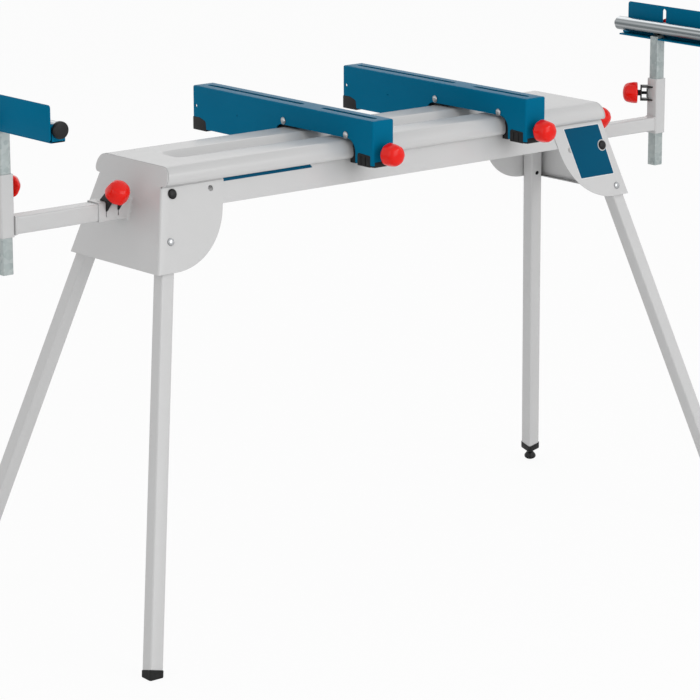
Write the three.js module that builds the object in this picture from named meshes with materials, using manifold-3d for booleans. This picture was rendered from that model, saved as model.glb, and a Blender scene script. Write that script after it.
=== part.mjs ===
// A folding stand that carries a miter saw. Millimetres, +Z up, the beam runs along X, the front is -Y.
// A folded sheet-metal beam stands on four splayed legs. Two crossbars on the beam hold the saw.
// An extension arm slides out of each end and carries a roller support for long boards.
import * as THREE from 'three';
import { mergeVertices } from 'three/addons/utils/BufferGeometryUtils.js';
import Module from 'manifold-3d';

const wasm = await Module();
wasm.setup();

// Clearances
const gap = 0.3;
const slideGap = 0.35;
const pinGap = 0.3;
const overrun = 2;

// Stance: the legs lean out along and across the beam, as a run for each unit of height
const splayAlong = 0.2603;
const splayAcross = 0.2738;
const pivotBelowTop = 49;
const pivotInsideBead = 24.2;
const pivotInsidePlate = 10;
const rightPivotDrop = 32;

// Beam
const beamTop = 781;
const beadDepth = 31;
const beadLip = 2;
const beadReach = 99;
const beadTopRadius = 20;
const beadLowRadius = 9;
const beamSheet = 1;
const beamWallDepth = 72;
const beamWallInsidePlate = 101.6;
const valleyDepth = 13;
const valleyHalfWidth = 34;
const valleySideRun = 22;
const valleyInsidePlate = 63.6;
const valleyEndRun = 34;

// End housings
const plateHalfLength = 487.6;
const plateLean = 0.268;
const plateSheet = 2;
const cheekSheet = 1.4;
const cheekStep = 0.2;
const housingDepth = 167.5;
const housingCornerRadius = 8;
const cheekTopDepth = 34;
const cheekOverlap = 16.4;
const cheekInnerLean = 0.26;
const cheekBigRadius = 119;

// Legs
const legSize = 25;
const legWall = 1.5;
const legTopReach = 14;
const legSideGap = 1.4;
const legEndHeight = 9;
const levellingLegEndHeight = 33;
const pivotRadius = 4;
const pivotCapRadius = 8.5;
const pivotCapHeight = 4.5;
const pivotWasherRadius = 8;
const pivotNutRadius = 7.5;
const pivotNutHeight = 6;
const buttonReach = 79;
const buttonRadius = 6.2;
const buttonStandOut = 3.6;
const buttonFlange = 1.8;
const foldHoleRadius = 5;
const capWall = 0.8;
const capRise = 2;
const socketRise = 5;
const capPlugLength = 18;
const socketFloor = 9;
const footStemRadius = 3.6;
const footRadius = 11.2;
const footDomeRadius = 16;
const footHeight = 15;
const footNeckRadius = 6;
const footStemLength = 34;

// Extension arms and their collars
const armBelowTop = 75.5;
const leftArmSize = 29;
const rightArmSize = 25;
const armWall = 1.5;
const armLength = 770;
const leftArmReach = 174;
const rightArmReach = 152;
const collarWall = 2;
const collarStandOut = 83.4;
const collarLength = 91;
const kerfWidth = 2.5;
const armKerfInsideEnd = 26.5;
const armKerfSpacing = 23.7;
const armKerfReach = 25.4;
const armToothReach = 15.8;

// Posts, sleeves and clamps
const postSize = 20;
const postWall = 1.5;
const postSlideGap = 0.5;
const postLength = 243;
const sleeveWall = 2;
const sleeveLow = 18.5;
const sleeveHigh = 84.5;
const postKerfHeight = 56.25;
const postKerfSpacing = 24.5;
const postKerfReach = 15.75;
const postToothReach = 14;
const clipLip = 1.8;
const clipPlateStandOff = 12.2;
const clipPlate = 3;
const clipPlateHalfWidth = 11;

// Red knobs
const knobRadius = 20;
const knobHeight = 28;
const knobFluteShare = 0.1;
const knobLobes = 8;
const knobBossRadius = 7;
const studRadius = 3;
const armKnobBoss = 1;
const postKnobBoss = 4.5;
const stopKnobBoss = 3;
const mountKnobBoss = 13.5;

// Roller supports
const rollerAboveTop = 102;
const rollerRadius = 12.5;
const rollerWall = 1.5;
const rollerOffset = 2;
const rollerGap = 1.5;
const rollerBushLength = 10;
const axleRadius = 4;
const axleCapRadius = 14;
const axleCapLength = 8;
const axleNutRadius = 6;
const axleNutLength = 5;
const headFront = -163;
const headBack = 107;
const bracketSheet = 2;
const bracketFlange = 2.5;
const bracketFloorDrop = 20;
const bracketWebRise = 10;
const earSheet = 2.5;
const earGap = 0.5;
const backEarRadius = 9;
const backEarHalfHeight = 6;
const bracketFloorShort = 15;
const stopSheet = 2.5;
const stopFront = -164;
const stopBack = 96;
const stopTop = 40;
const stopDepth = 57;
const stopCornerRadius = 5;
const stopSlotAcross = 1;
const stopSlotWidth = 10;
const stopSlotTop = 5;
const stopSlotLength = 43;
const stopKnobDrop = 3;

// Crossbars
const barWidth = 46;
const barSheet = 2.5;
const barTopAbove = 42;
const barFront = -162;
const barBack = 338;
const barFrontFootGap = 17;
const barBackFootGap = 3;
const barFootBelowBeam = 34;
const barWallAboveBeam = 5;
const barEndRadius = 6;
const barStepRadius = 5;
const barNotchRadius = 22;
const barNotchBackRadius = 18;
const barSlotWidth = 10;
const backSlot = { front: 51, back: 320 };
const frontSlot = { front: -143, back: 0 };
const leftBarAlong = -87;
const rightBarAlong = 262.5;
const sideHoleInsideEnd = 7;
const sideHoleAboveBeam = 6;
const sideHoleRadius = 2;
const crossPinRadius = 3;
const jawPinInsideBead = 8;
const jawPinAboveBeam = 10;
const padPinInsideBead = 21;
const padPinAboveBeam = 12;
const pinHeadRadius = 5.5;
const pinHeadHeight = 3.5;
const pinGuideGap = 7.5;
const jawClearance = 0.6;
const mountStudBelowBeam = 14;
const mountStudTipGap = 6;
const jawSlotRise = 0.8;
const jawSlotDrop = 4.8;
const jawThickness = 10;
const jawHookDrop = 7;
const padLength = 56;
const padHook = 9;
const padAboveBeam = 22;
const padHookBelowBeam = 16;

// How finely the round shapes are divided
const arcSteps = 4;
const roundSides = 16;
const pinSides = 12;
const holeSides = 10;
const knobSides = 24;

// Values worked out from the ones above
const lean = Math.atan(splayAcross);
const pivotHeight = beamTop - pivotBelowTop;
const pivotAcross = beadReach - pivotInsideBead;
const pivotAlong = plateHalfLength - pivotInsidePlate;
const beamWallHalfLength = plateHalfLength - beamWallInsidePlate;
const cheekInnerAlong = beamWallHalfLength - cheekOverlap;
const valleyFloorHalfWidth = valleyHalfWidth - valleySideRun;
const valleyHalfLength = plateHalfLength - valleyInsidePlate;
const valleyFloorHalfLength = valleyHalfLength - valleyEndRun;
const collarEndAlong = plateHalfLength + collarStandOut;
const collarInnerAlong = collarEndAlong - collarLength;
const armKerfAlong = collarEndAlong - armKerfInsideEnd;
const armHeight = beamTop - armBelowTop;
const housingBottom = beamTop - housingDepth;
const beadBottom = beamTop - beadDepth;
const cheekTop = beamTop - cheekTopDepth;
const legInPlaneLean = Math.atan(splayAlong * Math.cos(lean));
const legStretch = Math.hypot(1, splayAlong, splayAcross);
const beamWallOffset = legSize / 2 + legSideGap + beamSheet;
const cheekInnerOffset = beamWallOffset + gap;
const cheekOuterOffset = cheekInnerOffset + cheekSheet;
const collarHalf = leftArmSize / 2 + slideGap + collarWall;
const collarBoreHalf = leftArmSize / 2 + slideGap;
const sleeveHalf = postSize / 2 + postSlideGap + sleeveWall;
const rollerHeight = beamTop + rollerAboveTop;
const bracketFloor = rollerHeight - bracketFloorDrop;
const webInner = rollerOffset + rollerRadius + rollerGap / 2;
const webOuter = webInner + bracketSheet;
const stopInner = webOuter + gap;
const stopOuter = stopInner + stopSheet;
const barTop = beamTop + barTopAbove;
const mountStud = new THREE.Vector3(0, barFront - gap, beamTop - mountStudBelowBeam);
const jawPin = new THREE.Vector3(0, -(beadReach - jawPinInsideBead), beamTop + jawPinAboveBeam);
const padPin = new THREE.Vector3(0, beadReach - padPinInsideBead, beamTop + padPinAboveBeam);
const sideHole = new THREE.Vector3(0, barBack - sideHoleInsideEnd, beamTop + sideHoleAboveBeam);

const paint = { color: 0xcfd0cf, roughness: 0.45, metalness: 0.1 };
const blue = { color: 0x0c5a7a, roughness: 0.5, metalness: 0.1 };
const red = { color: 0xd7191c, roughness: 0.35, metalness: 0 };
const black = { color: 0x161616, roughness: 0.6, metalness: 0 };
const zinc = { color: 0x9aaba6, roughness: 0.4, metalness: 0.8 };
const steel = { color: 0xc2c4c6, roughness: 0.25, metalness: 0.9 };

// Solids: a closed geometry becomes a solid for joins and cuts, and comes back as a geometry

function welded(geometry) {
  const bare = geometry.clone();
  bare.deleteAttribute('normal');
  bare.deleteAttribute('uv');
  const merged = mergeVertices(bare);
  const index = merged.index.array;
  const kept = [];
  for (let i = 0; i < index.length; i += 3) {
    const [a, b, c] = [index[i], index[i + 1], index[i + 2]];
    if (a !== b && b !== c && c !== a) kept.push(a, b, c);
  }
  const position = merged.attributes.position.array;
  if (signedVolume(position, kept) < 0) kept.reverse();
  return { position, index: kept };
}

function signedVolume(position, index) {
  const corner = (k) => new THREE.Vector3().fromArray(position, 3 * index[k]);
  let volume = 0;
  for (let i = 0; i < index.length; i += 3) {
    volume += corner(i).dot(corner(i + 1).cross(corner(i + 2)));
  }
  return volume;
}

function solid(geometry) {
  const { position, index } = welded(geometry);
  return new wasm.Manifold(new wasm.Mesh({
    numProp: 3,
    vertProperties: new Float32Array(position),
    triVerts: new Uint32Array(index),
  }));
}

function shape(manifold) {
  const mesh = manifold.getMesh();
  const geometry = new THREE.BufferGeometry();
  geometry.setAttribute('position', new THREE.BufferAttribute(new Float32Array(mesh.vertProperties), 3));
  geometry.setIndex(new THREE.BufferAttribute(new Uint32Array(mesh.triVerts), 1));
  geometry.computeVertexNormals();
  return geometry;
}

function joined(...geometries) {
  return geometries.slice(1).reduce((all, next) => all.add(solid(next)), solid(geometries[0]));
}

function cut(body, ...cutters) {
  return cutters.reduce((left, cutter) => left.subtract(solid(cutter)), body);
}

// Basic shapes

function block([x0, x1], [y0, y1], [z0, z1]) {
  const box = new THREE.BoxGeometry(Math.abs(x1 - x0), Math.abs(y1 - y0), Math.abs(z1 - z0));
  return box.translate((x0 + x1) / 2, (y0 + y1) / 2, (z0 + z1) / 2);
}

// A rod along a unit direction, from one distance to another on the line through a point
function rod(radius, from, to, point, direction, sides = holeSides) {
  const cylinder = new THREE.CylinderGeometry(radius, radius, Math.abs(to - from), sides);
  cylinder.translate(0, (from + to) / 2, 0);
  const turn = new THREE.Quaternion().setFromUnitVectors(new THREE.Vector3(0, 1, 0), direction);
  return cylinder.applyQuaternion(turn).translate(point.x, point.y, point.z);
}

const alongX = new THREE.Vector3(1, 0, 0);
const alongY = new THREE.Vector3(0, 1, 0);
const alongZ = new THREE.Vector3(0, 0, 1);

// The corners of an outline are [x, y, radius]; a radius rounds its corner with an arc
function outline(corners) {
  const points = [];
  corners.forEach(([x, y, radius], index) => {
    const here = new THREE.Vector2(x, y);
    if (!radius) {
      points.push(here);
      return;
    }
    const last = corners[(index + corners.length - 1) % corners.length];
    const next = corners[(index + 1) % corners.length];
    const back = new THREE.Vector2(last[0], last[1]).sub(here).normalize();
    const ahead = new THREE.Vector2(next[0], next[1]).sub(here).normalize();
    const halfAngle = Math.acos(back.dot(ahead)) / 2;
    const middle = back.clone().add(ahead).normalize();
    const centre = here.clone().addScaledVector(middle, radius / Math.sin(halfAngle));
    const start = here.clone().addScaledVector(back, radius / Math.tan(halfAngle)).sub(centre);
    const end = here.clone().addScaledVector(ahead, radius / Math.tan(halfAngle)).sub(centre);
    const turn = Math.atan2(start.cross(end), start.dot(end));
    for (let step = 0; step <= arcSteps; step += 1) {
      points.push(start.clone().rotateAround(new THREE.Vector2(), (turn * step) / arcSteps).add(centre));
    }
  });
  return points;
}

// A slot with round ends, along the second axis of its outline
function slotOutline(middle, low, high, width) {
  const radius = width / 2;
  const points = [];
  for (let step = 0; step <= arcSteps; step += 1) {
    const angle = (Math.PI * step) / arcSteps;
    points.push(new THREE.Vector2(middle + radius * Math.cos(angle), high - radius + radius * Math.sin(angle)));
  }
  for (let step = 0; step <= arcSteps; step += 1) {
    const angle = Math.PI + (Math.PI * step) / arcSteps;
    points.push(new THREE.Vector2(middle + radius * Math.cos(angle), low + radius + radius * Math.sin(angle)));
  }
  return points;
}

function extruded(points, depth) {
  return new THREE.ExtrudeGeometry(new THREE.Shape(points), { depth, bevelEnabled: false });
}

// Outline in Y and Z, carried along X
function acrossSection(points, x0, x1) {
  const turn = new THREE.Matrix4().makeBasis(alongY, alongZ, alongX);
  return extruded(points, x1 - x0).applyMatrix4(turn).translate(x0, 0, 0);
}

// Outline in X and Z, carried along Y
function sideSection(points, y0, y1) {
  const turn = new THREE.Matrix4().makeBasis(alongX, alongZ, alongY.clone().negate());
  return extruded(points, y1 - y0).applyMatrix4(turn).translate(0, y1, 0);
}

// A closed turned shape about Y, from its outline as [radius, height]
function turned(profile, sides = roundSides) {
  return new THREE.LatheGeometry(profile.map(([radius, height]) => new THREE.Vector2(radius, height)), sides);
}

function squareTube(size, wall, from, to) {
  const half = size / 2;
  const outer = block([-half, half], [-half, half], [from, to]);
  const bore = half - wall;
  return cut(solid(outer), block([-bore, bore], [-bore, bore], [from - overrun, to + overrun]));
}

const stand = new THREE.Group();

function add(name, body, finish, parent = stand) {
  const geometry = body.getMesh ? shape(body) : shape(solid(body));
  const mesh = new THREE.Mesh(geometry, new THREE.MeshStandardMaterial(finish));
  mesh.name = name;
  parent.add(mesh);
  return mesh;
}

function point(direction, mesh) {
  mesh.quaternion.setFromUnitVectors(alongY, direction);
  return mesh;
}

// The beam and the end plates share one outline: two beads on top, and walls that lean out

// Distance from the middle to a plane parallel to the cheeks, at a height
function leaningAcross(offset, height) {
  return pivotAcross + (offset - (height - pivotHeight) * Math.sin(lean)) / Math.cos(lean);
}

function beamOutline(inset, wallOffset, low, lowRadius = 0) {
  const bead = beadBottom + inset;
  const right = [
    [leaningAcross(wallOffset - inset, low), low, lowRadius],
    [leaningAcross(wallOffset - inset, bead), bead, 0],
    [beadReach - inset, bead, beadLowRadius - inset],
    [beadReach - inset, beamTop - inset, beadTopRadius - inset],
  ];
  const left = right.map(([across, height, radius]) => [-across, height, radius]).reverse();
  return outline([...right, ...left]);
}

// Distance along the beam to the end plate's outer face, or to a face inside it, at a height
function plateAlong(height, inset = 0) {
  return plateHalfLength + plateLean * (beamTop - height) - inset * Math.hypot(1, plateLean);
}

// The valley is a boat-shaped hollow with sloping sides and ends
function valleyBoat(drop) {
  const rise = (valleyDepth + overrun) / valleyDepth;
  const topHalfWidth = valleyFloorHalfWidth + valleySideRun * rise;
  const topHalfLength = valleyFloorHalfLength + valleyEndRun * rise;
  const boat = new THREE.BoxGeometry(valleyHalfLength, valleyHalfWidth, valleyDepth + overrun);
  const position = boat.attributes.position;
  for (let i = 0; i < position.count; i += 1) {
    const high = position.getZ(i) > 0;
    const halfLength = high ? topHalfLength : valleyFloorHalfLength;
    const halfWidth = high ? topHalfWidth : valleyFloorHalfWidth;
    position.setX(i, Math.sign(position.getX(i)) * halfLength);
    position.setY(i, Math.sign(position.getY(i)) * halfWidth);
  }
  return boat.translate(0, 0, beamTop - valleyDepth + (valleyDepth + overrun) / 2 - drop);
}

function mainBeam() {
  const low = beamTop - beamWallDepth;
  const length = plateAlong(low);
  const outer = solid(acrossSection(beamOutline(0, beamWallOffset, low), -length, length));
  const hollow = beamOutline(beamSheet, beamWallOffset, low - overrun);
  const shell = cut(outer, acrossSection(hollow, -length - overrun, length + overrun));
  const slope = valleyDepth / valleySideRun;
  const valley = solid(valleyBoat(beamSheet * Math.hypot(1, slope)));
  const stub = beadBottom - beadLip;
  const inset = plateSheet + gap;
  const half = [
    [beamWallHalfLength, low - overrun],
    [beamWallHalfLength, stub],
    [plateAlong(stub, inset), stub],
    [plateAlong(beamTop, inset), beamTop],
  ];
  const sides = [...half, ...half.map(([along, height]) => [-along, height]).reverse()];
  const ends = sideSection(sides.map(([x, y]) => new THREE.Vector2(x, y)), -beadReach - overrun, beadReach + overrun);
  return cut(shell.add(valley).intersect(solid(ends)), valleyBoat(0));
}

add('main_beam', mainBeam(), paint);

// Each corner has a frame in the plane of its cheek: x along the beam, y up the slope, z outward.
// At the back the frame is turned round, so its x runs the other way.
// Its origin is level with the left pivots, at the middle of the beam.

function cornerFrame(front) {
  const frame = new THREE.Group();
  frame.position.set(0, front ? -pivotAcross : pivotAcross, pivotHeight);
  frame.rotation.set(Math.PI / 2 - lean, 0, front ? 0 : Math.PI, 'ZYX');
  frame.updateMatrix();
  return frame;
}

// Height in the corner frame of a point on the cheek's outer face
function upSlope(height) {
  return (height - pivotHeight - cheekOuterOffset * Math.sin(lean)) / Math.cos(lean);
}

const corners = [
  { name: 'left_front', side: -1, front: true },
  { name: 'left_back', side: -1, front: false },
  { name: 'right_front', side: 1, front: true },
  { name: 'right_back', side: 1, front: false },
];

corners.forEach((corner) => {
  const right = corner.side > 0;
  const drop = right ? rightPivotDrop : 0;
  corner.sign = corner.front ? corner.side : -corner.side;
  corner.x = corner.sign * (pivotAlong + splayAlong * drop);
  corner.y = -drop / Math.cos(lean);
  corner.height = pivotHeight - drop;
  corner.reach = corner.height * legStretch;
  corner.turn = corner.sign * legInPlaneLean;
  corner.buttonX = corner.x + buttonReach * Math.sin(corner.turn);
  corner.buttonY = corner.y - buttonReach * Math.cos(corner.turn);
});

// End housings: a leaning end plate and two cheeks, with holes for the pivots and the locks

function cheek(corner) {
  const edge = (height) => plateAlong(height, plateSheet / 2);
  const innerLow = cheekInnerAlong + cheekInnerLean * (cheekTop - housingBottom);
  const points = outline([
    [corner.sign * cheekInnerAlong, upSlope(cheekTop), 0],
    [corner.sign * edge(cheekTop), upSlope(cheekTop), 0],
    [corner.sign * edge(housingBottom), upSlope(housingBottom), housingCornerRadius],
    [corner.sign * innerLow, upSlope(housingBottom), cheekBigRadius],
  ]);
  const sheet = extruded(points, cheekSheet).translate(0, 0, cheekInnerOffset);
  const from = cheekInnerOffset - overrun;
  const to = cheekOuterOffset + overrun;
  const hole = (radius, x, y) => rod(radius, from, to, new THREE.Vector3(x, y, 0), alongZ);
  const holes = [
    hole(pivotRadius + pinGap, corner.x, corner.y),
    hole(buttonRadius + pinGap, corner.buttonX, corner.buttonY),
    hole(foldHoleRadius, corner.x - corner.sign * buttonReach, corner.y),
  ];
  return shape(cut(solid(sheet), ...holes)).applyMatrix4(cornerFrame(corner.front).matrix);
}

function endHousing(side) {
  const low = housingBottom;
  const from = plateAlong(beamTop, plateSheet) - overrun;
  const to = plateAlong(low) + overrun;
  const face = beamOutline(0, cheekOuterOffset - cheekStep, low, housingCornerRadius);
  const [x0, x1] = side > 0 ? [from, to] : [-to, -from];
  const below = low - overrun;
  const above = beamTop + overrun;
  const slab = [
    [plateAlong(below), below],
    [plateAlong(above), above],
    [plateAlong(above, plateSheet), above],
    [plateAlong(below, plateSheet), below],
  ].map(([along, height]) => new THREE.Vector2(side * along, height));
  const width = leaningAcross(cheekOuterOffset, below);
  const plate = solid(acrossSection(face, x0, x1)).intersect(solid(sideSection(slab, -width, width)));
  const hole = collarHalf + gap;
  const window = block([x0, x1], [-hole, hole], [armHeight - hole, armHeight + hole]);
  const cheeks = corners.filter((corner) => corner.side === side).map(cheek);
  return cheeks.reduce((body, next) => body.add(solid(next)), cut(plate, window));
}

add('left_end_housing', endHousing(-1), paint);
add('right_end_housing', endHousing(1), paint);

// Legs, in their own frame: origin on the pivot, y up the leg, z outward

function leg(corner, end) {
  const half = legSize / 2;
  const bore = half - legWall;
  const outer = block([-half, half], [-end, legTopReach], [-half, half]);
  const hollow = block([-bore, bore], [-end - overrun, legTopReach + overrun], [-bore, bore]);
  const origin = new THREE.Vector3();
  const lock = new THREE.Vector3(0, -buttonReach, 0);
  return cut(
    solid(outer),
    hollow,
    rod(pivotRadius + pinGap, -half - overrun, half + overrun, origin, alongZ),
    rod(buttonRadius + buttonFlange + 2 * pinGap, 0, half + overrun, lock, alongZ, roundSides),
  );
}

// The shoulders of the bolt lie between the leg and the cheek, and the nut lies inside the leg's far wall
function legPivot() {
  const leg = legSize / 2;
  const nut = -leg - gap;
  const washer = leg + gap;
  const cheekIn = cheekInnerOffset - gap;
  const cap = cheekOuterOffset + gap;
  const domeShares = [[1, 0.35], [0.86, 0.7], [0.5, 0.94]];
  const profile = [
    [0, nut - pivotNutHeight],
    [pivotNutRadius, nut - pivotNutHeight],
    [pivotNutRadius, nut],
    [pivotRadius, nut],
    [pivotRadius, washer],
    [pivotWasherRadius, washer],
    [pivotWasherRadius, cheekIn],
    [pivotRadius, cheekIn],
    [pivotRadius, cap],
    [pivotCapRadius, cap],
    ...domeShares.map(([out, up]) => [pivotCapRadius * out, cap + pivotCapHeight * up]),
    [0, cap + pivotCapHeight],
  ];
  return turned(profile, pinSides);
}

// The button is held behind the cheek by its flange, and sinks into the hole in the leg
function lockButton() {
  const back = legSize / 2 + gap;
  const stop = cheekInnerOffset - gap;
  const face = cheekOuterOffset + buttonStandOut;
  const edge = buttonFlange / 2;
  const profile = [
    [0, back],
    [buttonRadius + buttonFlange, back],
    [buttonRadius + buttonFlange, stop],
    [buttonRadius, stop],
    [buttonRadius, face - edge],
    [buttonRadius - edge, face],
    [0, face],
  ];
  return turned(profile, pinSides);
}

// A cup round the end of the leg with a plug inside it, from the leg's end down
function footCup(end, bottom, rise) {
  const half = legSize / 2 + gap + capWall;
  const inner = legSize / 2 + gap;
  const plug = legSize / 2 - legWall - gap;
  const rim = -end + rise;
  const cup = block([-half, half], [-bottom, rim], [-half, half]);
  const hollow = block([-inner, inner], [-end - gap, rim + overrun], [-inner, inner]);
  const middle = block([-plug, plug], [-end - gap - overrun / 2, -end + capPlugLength], [-plug, plug]);
  return cut(solid(cup), hollow).add(solid(middle));
}

// The floor, as seen from the leg's own frame
function floorFor(corner) {
  const wide = corner.reach;
  const floor = block([-wide, wide], [-wide, wide], [-wide, 0]);
  const frame = cornerFrame(corner.front);
  const place = new THREE.Matrix4().makeRotationZ(corner.turn).setPosition(corner.x, corner.y, 0);
  return floor.applyMatrix4(frame.matrix.clone().multiply(place).invert());
}

function footCap(corner, end) {
  return cut(footCup(end, corner.reach + legSize, capRise), floorFor(corner));
}

function levellingSocket(corner, end) {
  const bottom = end + socketFloor;
  const bore = footStemRadius + pinGap;
  const cup = footCup(end, bottom, socketRise);
  const origin = new THREE.Vector3();
  return cut(cup, rod(bore, -bottom - overrun, -end + capPlugLength + overrun, origin, alongY));
}

// The foot has a domed sole, which touches the floor off its axis because the leg leans
function levellingFoot(corner) {
  const centre = -corner.reach + footDomeRadius * legStretch;
  const side = Math.sqrt(footDomeRadius ** 2 - footRadius ** 2);
  const tip = centre - footDomeRadius;
  const top = tip + footHeight;
  const profile = [[0, tip]];
  const widest = Math.asin(footRadius / footDomeRadius);
  for (let step = 1; step <= arcSteps; step += 1) {
    const angle = (widest * step) / arcSteps;
    profile.push([footDomeRadius * Math.sin(angle), centre - footDomeRadius * Math.cos(angle)]);
  }
  const shoulder = (centre - side + top) / 2;
  profile.push([footRadius, shoulder], [footNeckRadius, top], [footStemRadius, top]);
  profile.push([footStemRadius, top + footStemLength], [0, top + footStemLength]);
  return turned(profile);
}

corners.forEach((corner) => {
  const frame = cornerFrame(corner.front);
  stand.add(frame);
  const levelling = corner.name === 'right_back';
  const end = corner.reach - (levelling ? levellingLegEndHeight : legEndHeight) * legStretch;
  const legFrame = new THREE.Group();
  legFrame.position.set(corner.x, corner.y, 0);
  legFrame.rotation.z = corner.turn;
  frame.add(legFrame);
  add(`${corner.name}_leg`, leg(corner, end), paint, legFrame);
  if (levelling) {
    add('levelling_foot_socket', levellingSocket(corner, end), black, legFrame);
    add('levelling_foot', levellingFoot(corner), black, legFrame);
  } else {
    add(`${corner.name}_foot_cap`, footCap(corner, end), black, legFrame);
  }
  const pivot = point(alongZ, add(`${corner.name}_leg_pivot`, legPivot(), black, frame));
  pivot.position.set(corner.x, corner.y, 0);
  const button = point(alongZ, add(`${corner.name}_lock_button`, lockButton(), steel, frame));
  button.position.set(corner.buttonX, corner.buttonY, 0);
});

// Knobs: a fluted red head with a domed end, on a boss and a threaded stud. They point along y.

function knob(boss, stud) {
  const headShares = [[0.8, 0], [0.99, 0.06], [1, 0.25], [0.92, 0.66], [0.78, 0.88], [0.45, 0.98]];
  const profile = [
    [0, -stud],
    [studRadius, -stud],
    [studRadius, 0],
    [knobBossRadius, 0],
    [knobBossRadius, boss],
    ...headShares.map(([out, up]) => [knobRadius * out, boss + knobHeight * up]),
    [0, boss + knobHeight],
  ];
  const head = turned(profile, knobSides);
  const position = head.attributes.position;
  for (let i = 0; i < position.count; i += 1) {
    const [x, z] = [position.getX(i), position.getZ(i)];
    const radius = Math.hypot(x, z);
    const onHead = radius > knobBossRadius + gap && position.getY(i) > boss - gap;
    const wave = (1 - Math.cos(knobLobes * Math.atan2(x, z))) / 2;
    const scale = onHead ? 1 - knobFluteShare * wave : 1;
    position.setX(i, x * scale);
    position.setZ(i, z * scale);
  }
  return head;
}

// A clip straddles the corner of a square tube. Its two teeth lie in the saw cuts, and the knob's
// stud passes its plate. The corner lies along +x+y, and the teeth are stacked along z.
function clip(outerHalf, innerHalf, spacing, reach) {
  const far = outerHalf / Math.SQRT1_2 + clipPlateStandOff;
  const near = far - clipPlate;
  const at = (out, across) => [(out + across) * Math.SQRT1_2, (out - across) * Math.SQRT1_2];
  const tip = outerHalf - reach;
  const lip = outerHalf + clipLip;
  const vectors = (list) => list.map(([x, y]) => new THREE.Vector2(x, y));
  const tooth = vectors([
    [innerHalf, innerHalf],
    [innerHalf, tip],
    [lip, tip],
    at(far, clipPlateHalfWidth),
    at(far, -clipPlateHalfWidth),
    [tip, lip],
    [tip, innerHalf],
  ]);
  const plate = vectors([
    at(near, clipPlateHalfWidth - clipPlate / 2),
    at(far, clipPlateHalfWidth),
    at(far, -clipPlateHalfWidth),
    at(near, -clipPlateHalfWidth + clipPlate / 2),
  ]);
  const thick = kerfWidth - 2 * gap;
  const bodies = [-1, 1].map((s) => extruded(tooth, thick).translate(0, 0, (s * spacing) / 2 - thick / 2));
  const bridge = extruded(plate, spacing).translate(0, 0, -spacing / 2);
  const diagonal = new THREE.Vector3(Math.SQRT1_2, Math.SQRT1_2, 0);
  const hole = rod(studRadius + pinGap, near - overrun, far + overrun, new THREE.Vector3(), diagonal);
  return cut(joined(...bodies, bridge), hole);
}

function clipPlateReach(outerHalf) {
  return outerHalf / Math.SQRT1_2 + clipPlateStandOff + gap;
}

// Collars, welded through the end plates; two saw cuts let the upper front corner give
function collar(side) {
  const x0 = side * collarInnerAlong;
  const x1 = side * collarEndAlong;
  const tube = squareTube(2 * collarHalf, collarWall, collarInnerAlong, collarEndAlong);
  const along = new THREE.Matrix4().makeBasis(alongY, alongZ, alongX);
  const body = solid(shape(tube).applyMatrix4(along).translate(side > 0 ? 0 : x0 + x1, 0, 0));
  const half = kerfWidth / 2;
  const kerfs = [-1, 1].map((s) => {
    const middle = side * (armKerfAlong + (s * armKerfSpacing) / 2);
    const depth = Math.min(armKerfReach, 2 * collarHalf - collarWall);
    return block(
      [middle - half, middle + half],
      [-collarHalf - overrun, -collarHalf + armToothReach + half],
      [collarHalf - depth, collarHalf + overrun],
    );
  });
  return cut(body, ...kerfs);
}

function guideBush() {
  const outer = collarBoreHalf - gap;
  const inner = rightArmSize / 2 + slideGap;
  const tube = squareTube(2 * outer, outer - inner, collarInnerAlong, collarEndAlong);
  return shape(tube).applyMatrix4(new THREE.Matrix4().makeBasis(alongY, alongZ, alongX));
}

const upFront = new THREE.Vector3(0, -Math.SQRT1_2, Math.SQRT1_2);

[-1, 1].forEach((side) => {
  const name = side < 0 ? 'left' : 'right';
  const ringMesh = add(`${name}_arm_collar`, collar(side), paint);
  ringMesh.position.z = armHeight;
  const holder = new THREE.Group();
  holder.position.set(side * armKerfAlong, 0, armHeight);
  stand.add(holder);
  const grip = clip(collarHalf, collarBoreHalf, armKerfSpacing, armToothReach);
  const clipMesh = add(`${name}_arm_clip`, grip, black, holder);
  const turn = new THREE.Matrix4().makeBasis(alongY.clone().negate(), alongZ, alongX.clone().negate());
  clipMesh.quaternion.setFromRotationMatrix(turn);
  const reach = clipPlateReach(collarHalf);
  const stud = reach - collarHalf / Math.SQRT1_2 - 2 * gap;
  const knobMesh = point(upFront, add(`${name}_arm_knob`, knob(armKnobBoss, stud), red, holder));
  knobMesh.position.copy(upFront).multiplyScalar(reach);
});

const bush = add('right_arm_guide_bush', guideBush(), black);
bush.position.z = armHeight;

// Extension arms with their upright sleeves, posts and roller supports

function armTube(side, size) {
  const from = sleeveHalf + gap;
  const tube = squareTube(size, armWall, from, from + armLength);
  const inward = new THREE.Matrix4().makeBasis(alongY, alongZ, alongX);
  if (side > 0) inward.premultiply(new THREE.Matrix4().makeRotationZ(Math.PI));
  return shape(tube).applyMatrix4(inward);
}

function sleeve(side) {
  const tube = squareTube(2 * sleeveHalf, sleeveWall, -sleeveLow, sleeveHigh);
  const half = kerfWidth / 2;
  const kerfs = [-1, 1].map((s) => {
    const middle = postKerfHeight + (s * postKerfSpacing) / 2;
    return block(
      [-side * (sleeveHalf + overrun), -side * (sleeveHalf - postKerfReach)],
      [sleeveHalf + overrun, sleeveHalf - postKerfReach],
      [middle - half, middle + half],
    );
  });
  return cut(tube, ...kerfs);
}

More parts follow.
